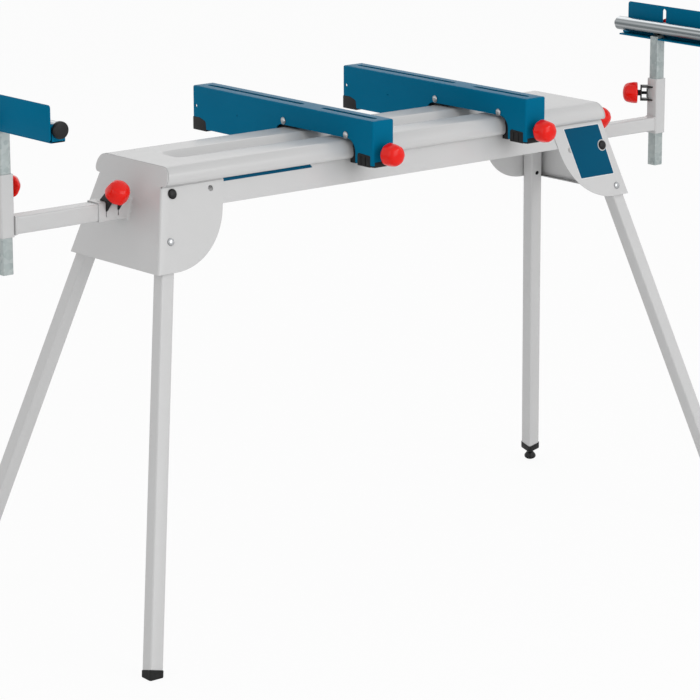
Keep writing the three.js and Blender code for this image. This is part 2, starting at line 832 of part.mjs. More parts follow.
function rollerBracket(side) {
  const floor = bracketFloor;
  const web = [side * webInner, side * webOuter];
  const inner = -side * (postSize / 2);
  const rise = rollerHeight + bracketWebRise;
  const whole = [headFront, headBack];
  const frontEar = [headFront, headFront + earSheet];
  const backEar = [headBack - earSheet, headBack];
  const backNeck = [rollerHeight - backEarHalfHeight, rollerHeight + backEarHalfHeight];
  const axis = new THREE.Vector3(side * rollerOffset, 0, rollerHeight);
  const stud = new THREE.Vector3(0, stopSlotAcross, rollerHeight - stopKnobDrop);
  const notch = postSize / 2 + gap;
  const body = joined(
    block(web, whole, [floor, rise]),
    block([inner, side * webOuter], [headFront, headBack - bracketFloorShort], [floor, floor + bracketFlange]),
    block([inner, side * webOuter], frontEar, [floor, rise]),
    block([side * rollerOffset, side * webOuter], backEar, backNeck),
    rod(backEarRadius, backEar[0], backEar[1], axis, alongY, roundSides),
  );
  return cut(
    body,
    block([-side * (notch + overrun), side * notch], [-notch, notch], [floor - overrun, floor + 2 * bracketFlange]),
    rod(axleRadius + pinGap, headFront - overrun, headBack + overrun, axis, alongY),
    rod(studRadius + pinGap, side * (webInner - overrun / 2), side * (webOuter + overrun), stud, alongX),
  );
}

function rollerTube() {
  const from = headFront + earSheet + earGap;
  const to = headBack - earSheet - earGap;
  const bore = axleRadius + pinGap;
  const inside = rollerRadius - rollerWall;
  return turned([
    [bore, from],
    [rollerRadius, from],
    [rollerRadius, to],
    [bore, to],
    [bore, to - rollerBushLength],
    [inside, to - rollerBushLength],
    [inside, from + rollerBushLength],
    [bore, from + rollerBushLength],
    [bore, from],
  ]);
}

// Its black cap is at the front; a flat round nut holds it at the back
function rollerAxle() {
  const from = headFront - gap;
  const to = headBack + gap;
  const edge = earSheet / 2;
  return turned([
    [0, from - axleCapLength],
    [axleCapRadius - edge, from - axleCapLength],
    [axleCapRadius, from - axleCapLength + edge],
    [axleCapRadius, from],
    [axleRadius, from],
    [axleRadius, to],
    [axleNutRadius, to],
    [axleNutRadius, to + axleNutLength - edge],
    [axleNutRadius - edge, to + axleNutLength],
    [0, to + axleNutLength],
  ]);
}

function stopPlate(side) {
  const top = rollerHeight + stopTop;
  const low = top - stopDepth;
  const face = outline([
    [stopFront, low, stopCornerRadius],
    [stopBack, low, stopCornerRadius],
    [stopBack, top, stopCornerRadius],
    [stopFront, top, stopCornerRadius],
  ]);
  const slotTop = top - stopSlotTop;
  const slot = slotOutline(stopSlotAcross, slotTop - stopSlotLength, slotTop, stopSlotWidth);
  const [x0, x1] = side > 0 ? [stopInner, stopOuter] : [-stopOuter, -stopInner];
  return cut(solid(acrossSection(face, x0, x1)), acrossSection(slot, x0 - overrun, x1 + overrun));
}

const arms = [
  { name: 'left', side: -1, size: leftArmSize, along: collarEndAlong + leftArmReach },
  { name: 'right', side: 1, size: rightArmSize, along: collarEndAlong + rightArmReach },
];

arms.forEach(({ name, side, size, along }) => {
  const head = new THREE.Group();
  head.position.x = side * along;
  stand.add(head);
  add(`${name}_extension_arm`, armTube(side, size), paint, head).position.z = armHeight;
  add(`${name}_post_sleeve`, sleeve(side), paint, head).position.z = armHeight;

  const holder = new THREE.Group();
  holder.position.z = armHeight + postKerfHeight;
  head.add(holder);
  const grip = clip(sleeveHalf, postSize / 2 + gap, postKerfSpacing, postToothReach);
  const clipMesh = add(`${name}_post_clip`, grip, black, holder);
  const inward = new THREE.Vector3(-side, 0, 0);
  const turn = new THREE.Matrix4().makeBasis(inward, alongY, inward.clone().cross(alongY));
  clipMesh.quaternion.setFromRotationMatrix(turn);
  const diagonal = new THREE.Vector3(-side * Math.SQRT1_2, Math.SQRT1_2, 0);
  const reach = clipPlateReach(sleeveHalf);
  const stud = reach - sleeveHalf / Math.SQRT1_2 - 2 * gap;
  const knobMesh = point(diagonal, add(`${name}_post_knob`, knob(postKnobBoss, stud), red, holder));
  knobMesh.position.copy(diagonal).multiplyScalar(reach);

  const postTop = rollerHeight - rollerRadius - rollerGap;
  add(`${name}_post`, squareTube(postSize, postWall, postTop - postLength, postTop), zinc, head);
  add(`${name}_roller_bracket`, rollerBracket(side), blue, head);
  const roller = add(`${name}_roller`, rollerTube(), steel, head);
  roller.position.set(side * rollerOffset, 0, rollerHeight);
  const axle = add(`${name}_roller_axle`, rollerAxle(), black, head);
  axle.position.set(side * rollerOffset, 0, rollerHeight);
  add(`${name}_stop_plate`, stopPlate(side), blue, head);
  const outward = new THREE.Vector3(side, 0, 0);
  const stopKnob = add(`${name}_stop_knob`, knob(stopKnobBoss, stopOuter + gap - webInner - gap), red, head);
  point(outward, stopKnob).position.set(side * (stopOuter + gap), stopSlotAcross, rollerHeight - stopKnobDrop);
});

// Crossbars: a folded channel with its walls cut away over the beam

const barHalf = barWidth / 2;
const barInner = barHalf - barSheet;

function crossbar() {
  const foot = beamTop - barFootBelowBeam;
  const wall = beamTop + barWallAboveBeam;
  const frontFoot = -beadReach - barFrontFootGap;
  const backFoot = beadReach + barBackFootGap;
  const side = outline([
    [barFront, foot, barStepRadius],
    [frontFoot, foot, barStepRadius],
    [frontFoot, wall, barNotchRadius],
    [backFoot, wall, barNotchBackRadius],
    [backFoot, foot, barStepRadius],
    [barBack, foot, barStepRadius],
    [barBack, barTop, barEndRadius],
    [barFront, barTop, barEndRadius],
  ]);
  const inside = [barFront + barSheet, barBack + overrun];
  const hollow = block([-barInner, barInner], inside, [foot - overrun, barTop - barSheet]);
  const slots = [backSlot, frontSlot].map(({ front, back }) => (
    extruded(slotOutline(0, front, back, barSlotWidth), barSheet + 2 * overrun)
      .translate(0, 0, barTop - barSheet - overrun)
  ));
  const across = barHalf + overrun;
  return cut(
    solid(acrossSection(side, -barHalf, barHalf)),
    hollow,
    ...slots,
    rod(sideHoleRadius, -across, across, sideHole, alongX),
    rod(crossPinRadius + pinGap, -across, across, jawPin, alongX),
    rod(crossPinRadius + pinGap, -across, across, padPin, alongX),
    rod(studRadius + pinGap, -overrun, barSheet + overrun, mountStud, alongY),
  );
}

// A bolt across the channel, with a head outside each wall
function crossPin() {
  const wall = barHalf + gap;
  const end = wall + pinHeadHeight;
  const edge = pinHeadHeight / 4;
  const half = [
    [crossPinRadius, wall],
    [pinHeadRadius, wall],
    [pinHeadRadius, end - edge],
    [pinHeadRadius - edge, end],
    [0, end],
  ];
  const other = half.map(([out, along]) => [out, -along]).reverse();
  return turned([...other, ...half], pinSides);
}

// The jaw hangs on its pin and hooks under the front bead
function frontJaw() {
  const halfWidth = barInner - pinGuideGap;
  const ring = crossPinRadius + barSheet + barSheet / 2;
  const inner = jawPin.y + ring;
  const outerFace = -beadReach - jawClearance - jawThickness;
  const hookLow = beadBottom - jawHookDrop;
  const backFace = -beadReach + beadLip;
  const points = outline([
    [inner, jawPin.z + ring, barSheet],
    [jawPin.y - ring, jawPin.z + ring, barSheet],
    [outerFace, beamTop, 2 * barSheet],
    [outerFace, hookLow, jawThickness / 2],
    [jawPin.y, hookLow, barSheet / 2],
    [jawPin.y, beadBottom + beadLip, 0],
    [backFace, beadBottom + beadLowRadius, 0],
    [backFace, jawPin.z - ring, 0],
    [inner, jawPin.z - ring, barSheet],
  ]);
  const body = solid(acrossSection(points, -halfWidth, halfWidth));
  const bead = beamOutline(-jawClearance, beamWallOffset, beamTop - beamWallDepth);
  const slotHalf = studRadius + jawClearance;
  return cut(
    body,
    acrossSection(bead, -barWidth, barWidth),
    rod(crossPinRadius + pinGap, -barWidth, barWidth, jawPin, alongX),
    block(
      [-slotHalf, slotHalf],
      [outerFace - overrun, backFace + overrun],
      [mountStud.z - studRadius - jawSlotDrop, mountStud.z + studRadius + jawSlotRise],
    ),
  );
}

// The pad sits on the rear bead and reaches down behind it
function rearPad() {
  const halfWidth = barInner - pinGuideGap;
  const back = beadReach + padHook;
  const heights = [beamTop - padHookBelowBeam, beamTop + padAboveBeam];
  const body = block([-halfWidth, halfWidth], [back - padLength, back], heights);
  const bead = beamOutline(-gap, beamWallOffset, beamTop - beamWallDepth);
  return cut(
    solid(body),
    acrossSection(bead, -barWidth, barWidth),
    rod(crossPinRadius + pinGap, -barWidth, barWidth, padPin, alongX),
  );
}

[['left', leftBarAlong], ['right', rightBarAlong]].forEach(([name, along]) => {
  const bar = new THREE.Group();
  bar.position.x = along;
  stand.add(bar);
  add(`${name}_crossbar`, crossbar(), blue, bar);
  add(`${name}_front_jaw`, frontJaw(), black, bar);
  add(`${name}_rear_pad`, rearPad(), black, bar);
  [['jaw_pin', jawPin], ['pad_pin', padPin]].forEach(([what, pin]) => {
    point(alongX, add(`${name}_${what}`, crossPin(), steel, bar)).position.copy(pin);
  });
  const stud = -beadReach - mountStudTipGap - mountStud.y;
  const mountKnob = add(`${name}_mount_knob`, knob(mountKnobBoss, stud), red, bar);
  point(alongY.clone().negate(), mountKnob).position.copy(mountStud);
});

// The origin is on the floor, under the middle of the whole stand
const bounds = new THREE.Box3().setFromObject(stand, true);
const middle = bounds.getCenter(new THREE.Vector3());
stand.position.set(-middle.x, -middle.y, -bounds.min.z);

export default stand;
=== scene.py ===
"""Looks for a folding stand that carries a miter saw.

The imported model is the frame: metres, +Z up, the beam runs along X, and the front is -Y.
Lengths below are millimetres, measured from the floor under the middle of the beam, and place() puts
them into the frame.
"""
import math
from functools import partial

import bmesh
import bpy
import numpy as np
from mathutils import Matrix, Vector


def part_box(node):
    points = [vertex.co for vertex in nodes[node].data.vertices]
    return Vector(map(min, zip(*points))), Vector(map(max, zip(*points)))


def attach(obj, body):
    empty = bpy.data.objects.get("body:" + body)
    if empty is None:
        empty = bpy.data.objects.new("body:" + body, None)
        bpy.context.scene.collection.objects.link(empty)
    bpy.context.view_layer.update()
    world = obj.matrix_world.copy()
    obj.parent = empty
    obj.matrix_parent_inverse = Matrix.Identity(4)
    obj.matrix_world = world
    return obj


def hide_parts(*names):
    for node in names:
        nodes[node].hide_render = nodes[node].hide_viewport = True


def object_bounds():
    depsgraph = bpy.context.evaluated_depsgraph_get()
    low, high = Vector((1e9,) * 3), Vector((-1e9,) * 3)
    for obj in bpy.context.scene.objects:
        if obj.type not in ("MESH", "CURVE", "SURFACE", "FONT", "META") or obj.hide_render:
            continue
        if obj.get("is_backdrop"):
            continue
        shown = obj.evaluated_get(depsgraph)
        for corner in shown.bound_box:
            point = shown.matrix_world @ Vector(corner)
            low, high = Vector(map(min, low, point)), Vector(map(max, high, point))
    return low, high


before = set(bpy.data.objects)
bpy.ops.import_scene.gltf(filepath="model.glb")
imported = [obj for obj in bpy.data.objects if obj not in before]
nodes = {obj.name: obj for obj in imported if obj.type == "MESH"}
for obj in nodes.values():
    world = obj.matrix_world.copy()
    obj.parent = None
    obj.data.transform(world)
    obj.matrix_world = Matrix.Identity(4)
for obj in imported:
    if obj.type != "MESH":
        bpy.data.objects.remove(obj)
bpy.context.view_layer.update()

MM = 0.001
beam_low, beam_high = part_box("main_beam")
MIDDLE = np.array([(beam_low.x + beam_high.x) / 2, (beam_low.y + beam_high.y) / 2, 0.0])
X, Y, Z = np.eye(3)
ORIGIN = np.zeros(3)
ALONG_X, ALONG_Y, UPRIGHT = (Y, Z, X), (X, Z, Y), (X, Y, Z)
SPIN_ALONG_Y = (X, -Z, Y)
SIDES = ((-1, "left"), (1, "right"))

# Sizes shared with the solids
SPLAY_ALONG, SPLAY_ACROSS = 0.2603, 0.2738
LEAN = math.atan(SPLAY_ACROSS)
LEG_TURN = math.atan(SPLAY_ALONG * math.cos(LEAN))
LEG_SLOPE = math.sqrt(1 + SPLAY_ALONG**2 + SPLAY_ACROSS**2)
BEAM_TOP = 781
BEAD_BOTTOM = 750
BEAD_REACH = 99
BEAD_TOP_RADIUS = 20
BEAD_LOW_RADIUS = 9
WALL_BEND_RADIUS = 0.8
BEAM_LOW = 709
BEAM_SHEET = 1
BEAM_STUB = 745.5
WALL_HALF = 386
VALLEY_HALF_WIDTH = 34
VALLEY_SIDE = 22
VALLEY_DEPTH = 13
VALLEY_HALF_LENGTH = 424
VALLEY_END = 34
PIVOT_HEIGHT = 732
PIVOT_ACROSS = 74.8
PIVOT_ALONG = 477.6
RIGHT_DROP = 32
WALL_OFFSET = 14.9
CHEEK_OFFSET = 16.6
CHEEK_SHEET = 1.4
CHEEK_TOP = 747
HOUSING_LOW = 613.5
PLATE_HALF = 487.6
PLATE_LEAN = 0.268
PLATE_SHEET = 2
CHEEK_INNER = 369.6
CHEEK_INNER_LEAN = 0.26
CHEEK_BIG_RADIUS = 119
FOLD_RADIUS = 3.5
LEG_HALF = 12.5
TUBE_WALL = 1.5
LEG_TOP = 14
LEG_END = 9
LEVELLING_LEG_END = 33
BUTTON_REACH = 79
ARM_HEIGHT = 705.5
COLLAR_HALF = 16.85
COLLAR_WALL = 2
COLLAR_END = 571
COLLAR_LENGTH = 91
ARM_HALVES = {"left": 14.5, "right": 12.5}
ARM_LENGTH = 770
POSTS = {"left": -745, "right": 723}
SLEEVE_HALF = 12.5
SLEEVE_LOW, SLEEVE_HIGH = -18.5, 84.5
POST_HALF = 10
POST_RADIUS = 2.4
POST_LENGTH = 243
POST_DROP = 14
TUBE_RADIUS = 3
KERF = 2.5
ARM_KERF_ALONG = 544.5
ARM_KERF_SPACING = 23.7
POST_KERF_HEIGHT = 56.25
POST_KERF_SPACING = 24.5
POST_KERF_DEPTH = 15.75
ROLLER_HEIGHT = 883
ROLLER_OFFSET = 2
BAR_HALF = 23
BAR_SHEET = 2.5
BAR_TOP = 823
BAR_FRONT, BAR_BACK = -162, 338
BAR_FOOT = 747
BAR_WALL = 786
BAR_NOTCH_FRONT, BAR_NOTCH_BACK = -116, 102
BAR_NOTCH_RADIUS, BAR_NOTCH_BACK_RADIUS = 22, 18
BAR_CORNER = 3.2
BARS = {"left": -87, "right": 262.5}
JAW_PIN = (-91, 791)
PAD_PIN = (78, 793)
MOUNT_KNOB_HEIGHT = 767

# How finely things are made: rounded edges of plates and cutters, creases in degrees, sides of turned pieces
EDGE = 0.3
CUTTER_EDGE = 0.05
FINE_EDGE = 0.02
MERGE_METRES = 1e-6
CREASE, KNOB_CREASE, WELD_CREASE = 32, 40, 50
STUD_SIDES, HOLE_SIDES, PIN_SIDES, BOLT_SIDES = 20, 24, 32, 36
CAP_SIDES, ROLLER_SIDES, KNOB_SIDES = 48, 64, 96


# Shapes: outlines, and surfaces through a row of hoops


def place(points):
    """Millimetres from the floor under the middle of the beam, as metres in the frame."""
    return np.asarray(points, float) * MM + MIDDLE


def quarter(steps):
    """Even angles over a quarter turn."""
    return np.linspace(0, math.pi / 2, steps)


def rounded(corners, steps=8):
    """A closed outline from corners given as [x, y, radius].

    Each corner becomes an arc of its radius, tangent to both sides: its centre lies on the bisector,
    radius over the sine of the half angle away from the corner.
    """
    table = np.array([[x, y] for x, y, _ in corners], float)
    points = []
    sides = np.roll(table, -1, 0) - table
    sides /= np.linalg.norm(sides, axis=1)[:, None]
    for here, back, ahead, (_, _, radius) in zip(table, -np.roll(sides, 1, 0), sides, corners):
        if not radius:
            points.append(here[None])
            continue
        half = math.acos(np.clip(back @ ahead, -1, 1)) / 2
        centre = here + (back + ahead) / np.linalg.norm(back + ahead) * radius / math.sin(half)
        start, end = (here + way * radius / math.tan(half) - centre for way in (back, ahead))
        turn = math.atan2(start[0] * end[1] - start[1] * end[0], start @ end)
        angle = np.linspace(0, turn, steps + 1)[:, None]
        points.append(centre + start * np.cos(angle) + np.array([-start[1], start[0]]) * np.sin(angle))
    return np.concatenate(points)


def oblong(left, right, low, high, radius, steps=8):
    """A rectangle between two places across and two heights, with rounded corners."""
    corners = ((left, low), (right, low), (right, high), (left, high))
    return rounded([[x, y, radius] for x, y in corners], steps)


def rectangle(half_x, half_y, radius, steps=5):
    """A rectangle about the origin with rounded corners."""
    return oblong(-half_x, half_x, -half_y, half_y, radius, steps)


def square(half, radius=TUBE_RADIUS):
    """A square about the origin, as of a square tube."""
    return rectangle(half, half, radius)


def stadium(middle, low, high, half):
    """A slot with round ends along y. The radius is just under half the width, so no two points meet."""
    return oblong(middle - half, middle + half, low, high, half - 0.01, 10)


def shrunk(outline, inset):
    """The outline moved inwards: each point goes along the mitre of its two edges' normals."""
    edge = np.roll(outline, -1, 0) - outline
    normal = np.stack([edge[:, 1], -edge[:, 0]], 1) / np.linalg.norm(edge, axis=1)[:, None]
    before = np.roll(normal, 1, 0)
    mitre = (normal + before) / (1 + (normal * before).sum(1))[:, None]
    area = (outline[:, 0] * np.roll(outline[:, 1], -1) - outline[:, 1] * np.roll(outline[:, 0], -1)).sum()
    return outline - mitre * inset * np.sign(area)


def hoop(outline, inset, level):
    """The outline moved inwards, as points at a height."""
    return np.column_stack([shrunk(outline, inset), np.full(len(outline), level)])


def skin(hoops, wrap=False, capped=True, closed=True):
    """The quads of a surface through rows of points: row i, point j joins row i+1, point j+1."""
    hoops = np.asarray(hoops, float)
    rows, count = hoops.shape[:2]
    index = np.arange(rows * count).reshape(rows, count)
    caps = [index[0][::-1].tolist(), index[-1].tolist()] if capped and closed and not wrap else []
    if wrap:
        index = np.concatenate([index, index[:1]])
    if closed:
        index = np.concatenate([index, index[:, :1]], 1)
    quads = np.stack([index[:-1, :-1], index[:-1, 1:], index[1:, 1:], index[1:, :-1]], -1)
    return hoops.reshape(-1, 3), quads.reshape(-1, 4).tolist() + caps


def mirrored(part, side, shift=0):
    """A surface as made for the right end, or its mirror image for the left one, moved along x."""
    points, faces = part
    return points * [side, 1, 1] + [shift, 0, 0], faces


def along(hoops, origin, x_axis, y_axis, z_axis):
    """Local points carried to an origin and three axes."""
    return np.asarray(origin, float) + np.asarray(hoops, float) @ np.array([x_axis, y_axis, z_axis], float)


def axes_about(axis):
    """Three axes whose z runs along an axis."""
    axis = np.asarray(axis, float) / np.linalg.norm(axis)
    side = np.cross(axis, X if abs(axis[0]) < 0.9 else Y)
    side /= np.linalg.norm(side)
    return side, np.cross(axis, side), axis


def slab(outline, low, high, edge=EDGE, origin=ORIGIN, axes=ALONG_X):
    """A plate from an outline, between two heights along the last axis.

    Its edges are quarter circles: the inset is the edge less its sine, the rise the edge less its cosine.
    """
    inset, rise = edge * (1 - np.sin(quarter(3))), edge * (1 - np.cos(quarter(3)))
    levels = [*zip(inset, low + rise), *zip(inset[::-1], (high - rise)[::-1])]
    return skin(along([hoop(outline, i, level) for i, level in levels], origin, *axes))


def tube(outline, wall, low, high, edge=EDGE, origin=ORIGIN, axes=UPRIGHT):
    """A tube from an outline: out along the outside, over the rim, back along the inside."""
    steps = [
        (edge, low), (0, low + edge), (0, high - edge), (edge, high),
        (wall - edge, high), (wall, high - edge), (wall, low + edge), (wall - edge, low),
    ]
    return skin(along([hoop(outline, i, level) for i, level in steps], origin, *axes), wrap=True)


def evenly(outline, count):
    """A closed outline as points at even steps along its length."""
    ring = np.vstack([outline, outline[:1]])
    run = np.concatenate([[0], np.cumsum(np.linalg.norm(np.diff(ring, axis=0), axis=1))])
    at = np.linspace(0, run[-1], count, endpoint=False)
    return np.stack([np.interp(at, run, ring[:, k]) for k in (0, 1)], 1)


def circle(sides):
    """Points on a circle of radius one: cosine and sine of even angles."""
    angle = np.linspace(0, 2 * math.pi, sides, endpoint=False)
    return np.stack([np.cos(angle), np.sin(angle), np.zeros(sides)], 1)


def lathe(profile, sides, origin, axes, wrap=False):
    """A shape turned about the last axis from [radius, height] pairs: radius times cosine and sine."""
    hoops = [circle(sides) * radius + Z * height for radius, height in profile]
    return skin(along(hoops, origin, *axes), wrap, capped=False)


def cylinder(radius, low, high, sides, origin, axes):
    """A cylinder between two heights, to cut a hole with."""
    return lathe([[0, low], [radius, low], [radius, high], [0, high]], sides, origin, axes)


def dome(radius, rise, base, steps):
    """A profile from a rim at a height up to the axis: radius times cosine, rise times sine."""
    return [[radius * math.cos(a), base + rise * math.sin(a)] for a in quarter(steps)]


# Objects


def outward(part):
    """A closed surface with its faces turned outwards.

    Its signed volume tells: each face is a fan of corners, summed as scalar triple products.
    """
    points, faces = part
    fans = [(f[0], f[i], f[i + 1]) for f in faces for i in range(1, len(f) - 1)]
    a, b, c = (points[list(k)] for k in zip(*fans))
    return (points, [f[::-1] for f in faces]) if (a * np.cross(b, c)).sum() < 0 else part


def joined(parts):
    """Several surfaces as one list of points and one of faces."""
    points, faces = [], []
    for some_points, some_faces in parts:
        start = sum(map(len, points))
        points.append(some_points)
        faces += [[i + start for i in f] for f in some_faces]
    return np.concatenate(points), faces


def shaded(mesh, sharp):
    """Smooth shading, with creases at edges sharper than an angle."""
    mesh.shade_smooth()
    mesh.set_sharp_from_angle(angle=math.radians(sharp))


def finished(name, points, faces, sharp=CREASE):
    """One mesh object from points in millimetres, with doubled points merged."""
    mesh = bpy.data.meshes.new(name)
    mesh.from_pydata(place(points).tolist(), [], faces)
    work = bmesh.new()
    work.from_mesh(mesh)
    bmesh.ops.remove_doubles(work, verts=work.verts, dist=MERGE_METRES)
    work.to_mesh(mesh)
    work.free()
    shaded(mesh, sharp)
    obj = bpy.data.objects.new(name, mesh)
    bpy.context.scene.collection.objects.link(obj)
    return obj


def build(name, parts, sharp=CREASE):
    """One mesh object from closed surfaces."""
    return finished(name, *joined(map(outward, parts)), sharp)


def settled(obj):
    """Applies the object's modifiers."""
    graph = bpy.context.evaluated_depsgraph_get()
    mesh = bpy.data.meshes.new_from_object(obj.evaluated_get(graph))
    obj.modifiers.clear()
    obj.data = mesh
    shaded(mesh, CREASE)
    return obj


def thickened(obj, sheet):
    """Gives an open surface the thickness of its sheet, inwards."""
    thick = obj.modifiers.new("sheet", "SOLIDIFY")
    thick.thickness = sheet * MM
    thick.offset = -1
    return settled(obj)


def cut(obj, parts, operation="DIFFERENCE"):
    """Takes closed surfaces out of an object, or keeps what lies inside them."""
    cutter = build("cutter", parts)
    take = obj.modifiers.new("cut", "BOOLEAN")
    take.operation = operation
    take.solver = "EXACT"
    take.object = cutter
    settled(obj)
    bpy.data.objects.remove(cutter)
    return obj


def dress(obj, body, finish, *replaced):
    """Gives a piece its finish's material and its body, and hides the CAD nodes that it stands for."""
    material, slot = finish
    obj.data.materials.clear()
    obj.data.materials.append(material)
    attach(obj, body)
    if replaced:
        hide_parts(*replaced)


def piece(name, parts, body, finish, *replaced, sharp=CREASE, holes=()):
    """Builds a piece, takes its holes out and dresses it."""
    obj = build(name, parts, sharp)
    dress(cut(obj, holes) if holes else obj, body, finish, *replaced)


# Finishes: each is a material with the name of its slot


def linear(*channels):
    """An sRGB colour of 0 to 255 as linear light."""
    share = np.array(channels, float) / 255
    light = np.where(share <= 0.04045, share / 12.92, ((share + 0.055) / 1.055) ** 2.4)
    return (*light.tolist(), 1.0)


def feed(tree, target, inputs):
    """Gives each input of a node its value, or links it to an output."""
    for socket, value in inputs.items():
        if isinstance(value, bpy.types.NodeSocket):
            tree.links.new(value, target.inputs[socket])
        else:
            target.inputs[socket].default_value = value


def node(tree, kind, inputs, **settings):
    """The outputs of a new shader node."""
    made = tree.nodes.new(f"ShaderNode{kind}")
    for key, value in settings.items():
        setattr(made, key, value)
    feed(tree, made, inputs)
    return made.outputs


class Finish:
    """A principled shader of one colour, and the short calls that vary it."""

    def __init__(self, name, colour, roughness, metallic=0.0, specular=0.5):
        """Textures look up the object's own coordinates."""
        self.material = bpy.data.materials.new(name)
        self.material.use_nodes = True
        self.tree = self.material.node_tree
        self.shader = self.tree.nodes["Principled BSDF"]
        self.node = partial(node, self.tree)
        self.shade = partial(feed, self.tree, self.shader)
        self.colour = linear(*colour)
        self.shade({"Base Color": self.colour, "Roughness": roughness})
        self.shade({"Metallic": metallic, "Specular IOR Level": specular})
        self.where = self.node("TexCoord", {})["Object"]

    def noise(self, scale, detail=3.0, stretch=(1, 1, 1)):
        """Noise in 0 to 1, stretched along the axes."""
        spot = self.node("Mapping", {"Scale": stretch, "Vector": self.where})["Vector"]
        return self.node("TexNoise", {"Scale": scale, "Detail": detail, "Vector": spot})["Fac"]

    def spread(self, source, low=0, high=1, start=0.3, stop=0.7):
        """The source, taken from start..stop to low..high."""
        ends = {"From Min": start, "From Max": stop, "To Min": low, "To Max": high}
        return self.node("MapRange", {**ends, "Value": source})["Result"]

    def tint(self, amount, other):
        """Base colour mixed towards another colour by an amount."""
        colours = {6: self.colour, 7: linear(*other)}
        self.shade({"Base Color": self.node("Mix", {**colours, "Factor": amount}, data_type="RGBA")[2]})

    def relief(self, gloss, height, metres, strength):
        """Roughness from one source, and a height in metres from another."""
        bump = self.node("Bump", {"Strength": strength, "Distance": metres, "Height": height})
        self.shade({"Roughness": gloss, "Normal": bump["Normal"]})
        return self.material


def powder_coat(name, colour, other, roughness, specular):
    """Baked paint or film: broad faint clouds in colour, finer ones in gloss, a very fine orange peel."""
    coat = Finish(name, colour, roughness, specular=specular)
    coat.tint(coat.spread(coat.noise(6)), other)
    gloss = coat.spread(coat.noise(35), roughness - 0.015, roughness + 0.02)
    return coat.relief(gloss, coat.noise(900, detail=2), metres=0.00006, strength=0.35)


def moulded(name, colour, other, roughness, specular, grain=1500, metres=0.00004):
    """Moulded plastic or rubber: small clouds in colour and gloss, and a fine grain."""
    cast = Finish(name, colour, roughness, specular=specular)
    cast.tint(cast.spread(cast.noise(60)), other)
    gloss = cast.spread(cast.noise(120), roughness - 0.05, roughness + 0.06)
    return cast.relief(gloss, cast.noise(grain, detail=2), metres, strength=0.4)


def galvanised(name):
    """Zinc spangle: cells of two greys, with faint drawn streaks."""
    zinc = Finish(name, (184, 192, 191), 0.4, metallic=0.5)
    cells = zinc.node("TexVoronoi", {"Scale": 150, "Randomness": 1, "Vector": zinc.where})["Color"]
    grey, clouds = zinc.node("SeparateColor", {"Color": cells})["Red"], zinc.noise(28, detail=4)
    both = zinc.node("Math", {0: grey, 1: clouds}, operation="MULTIPLY")["Value"]
    zinc.tint(zinc.spread(both, start=0.05, stop=0.6), (158, 169, 169))
    streaks = zinc.noise(300, stretch=(1, 1, 0.06))
    return zinc.relief(zinc.spread(clouds, 0.3, 0.5), streaks, metres=0.00008, strength=0.4)


def bright(name, colour, roughness):
    """Turned metal: fine grain in roughness and height."""
    metal = Finish(name, colour, roughness, metallic=1.0)
    metal.tint(metal.spread(metal.noise(40)), [c * 0.8 for c in colour])
    grain = metal.noise(700)
    gloss = metal.spread(grain, roughness - 0.08, roughness + 0.12)
    return metal.relief(gloss, grain, metres=0.00003, strength=0.3)


def drawn_tube_painted_reflections(name):
    """Drawn steel: long streaks along the tube in roughness and height, and light and dark bands in its
    colour that are painted reflections.
    """
    metal = Finish(name, (206, 209, 211), 0.2, metallic=1.0)
    streaks = metal.noise(230, detail=2, stretch=(1, 0.004, 1))
    # Painted reflection: the streak noise darkens the steel's colour in long bands round the roller.
    metal.tint(metal.spread(streaks, start=0.36, stop=0.62), (112, 118, 120))
    gloss = metal.spread(metal.noise(500, stretch=(1, 0.02, 1)), 0.14, 0.3)
    return metal.relief(gloss, metal.noise(700, stretch=(1, 0.02, 1)), metres=0.00003, strength=0.3)


grey = powder_coat("grey paint", (209, 209, 209), (207, 207, 207), 0.24, 0.5), "grey_paint"
blue = powder_coat("blue paint", (0, 109, 146), (0, 105, 141), 0.3, 0.03), "blue_paint"
red = moulded("red plastic", (243, 18, 0), (236, 14, 0), 0.15, 0.3), "red_plastic"
black = moulded("black plastic", (20, 20, 21), (16, 16, 17), 0.4, 0.3), "black_plastic"
rubber = moulded("black rubber", (30, 30, 30), (22, 22, 22), 0.7, 0.3, 900, 0.00008), "black_rubber"
zinc = galvanised("zinc plate"), "zinc_plate"
blue_film = powder_coat("blue film", (4, 84, 116), (3, 79, 110), 0.35, 0.05), "blue_paint"
pale_film = powder_coat("pale film", (226, 228, 228), (222, 224, 224), 0.35, 0.3), "grey_paint"
steel = bright("bright steel", (196, 198, 200), 0.24), "bright_steel"
# The roller's steel has painted reflections: dark bands in its colour.
roller_steel_painted_reflections = drawn_tube_painted_reflections("roller steel with painted reflections"), "bright_steel"
black_steel = bright("black steel", (40, 40, 42), 0.35), "black_plastic"


# The beam

VALLEY_MARGIN = 6
VALLEY_POINTS, VALLEY_STATIONS = 61, 22
STATION_MARGIN = 4
FIRST_STATIONS, LAST_STATIONS = (0, 130, 260, WALL_HALF - 6, WALL_HALF), (450, 470)
PLATE_GAP = 0.3
STUB_MARGIN = 0.01


def leaning(offset, height):
    """Distance from the middle to a plane parallel to the cheeks, at a height."""
    return PIVOT_ACROSS + (offset - (height - PIVOT_HEIGHT) * math.sin(LEAN)) / math.cos(LEAN)


def plate_along(height, inset=0.0):
    """Distance along the beam to the end plate's outside, or to a plane inside it, at a height."""
    return PLATE_HALF + PLATE_LEAN * (BEAM_TOP - height) - inset * math.hypot(1, PLATE_LEAN)


def smooth(share):
    """Three times the square less twice the cube, held between 0 and 1."""
    share = np.clip(share, 0, 1)
    return share * share * (3 - 2 * share)


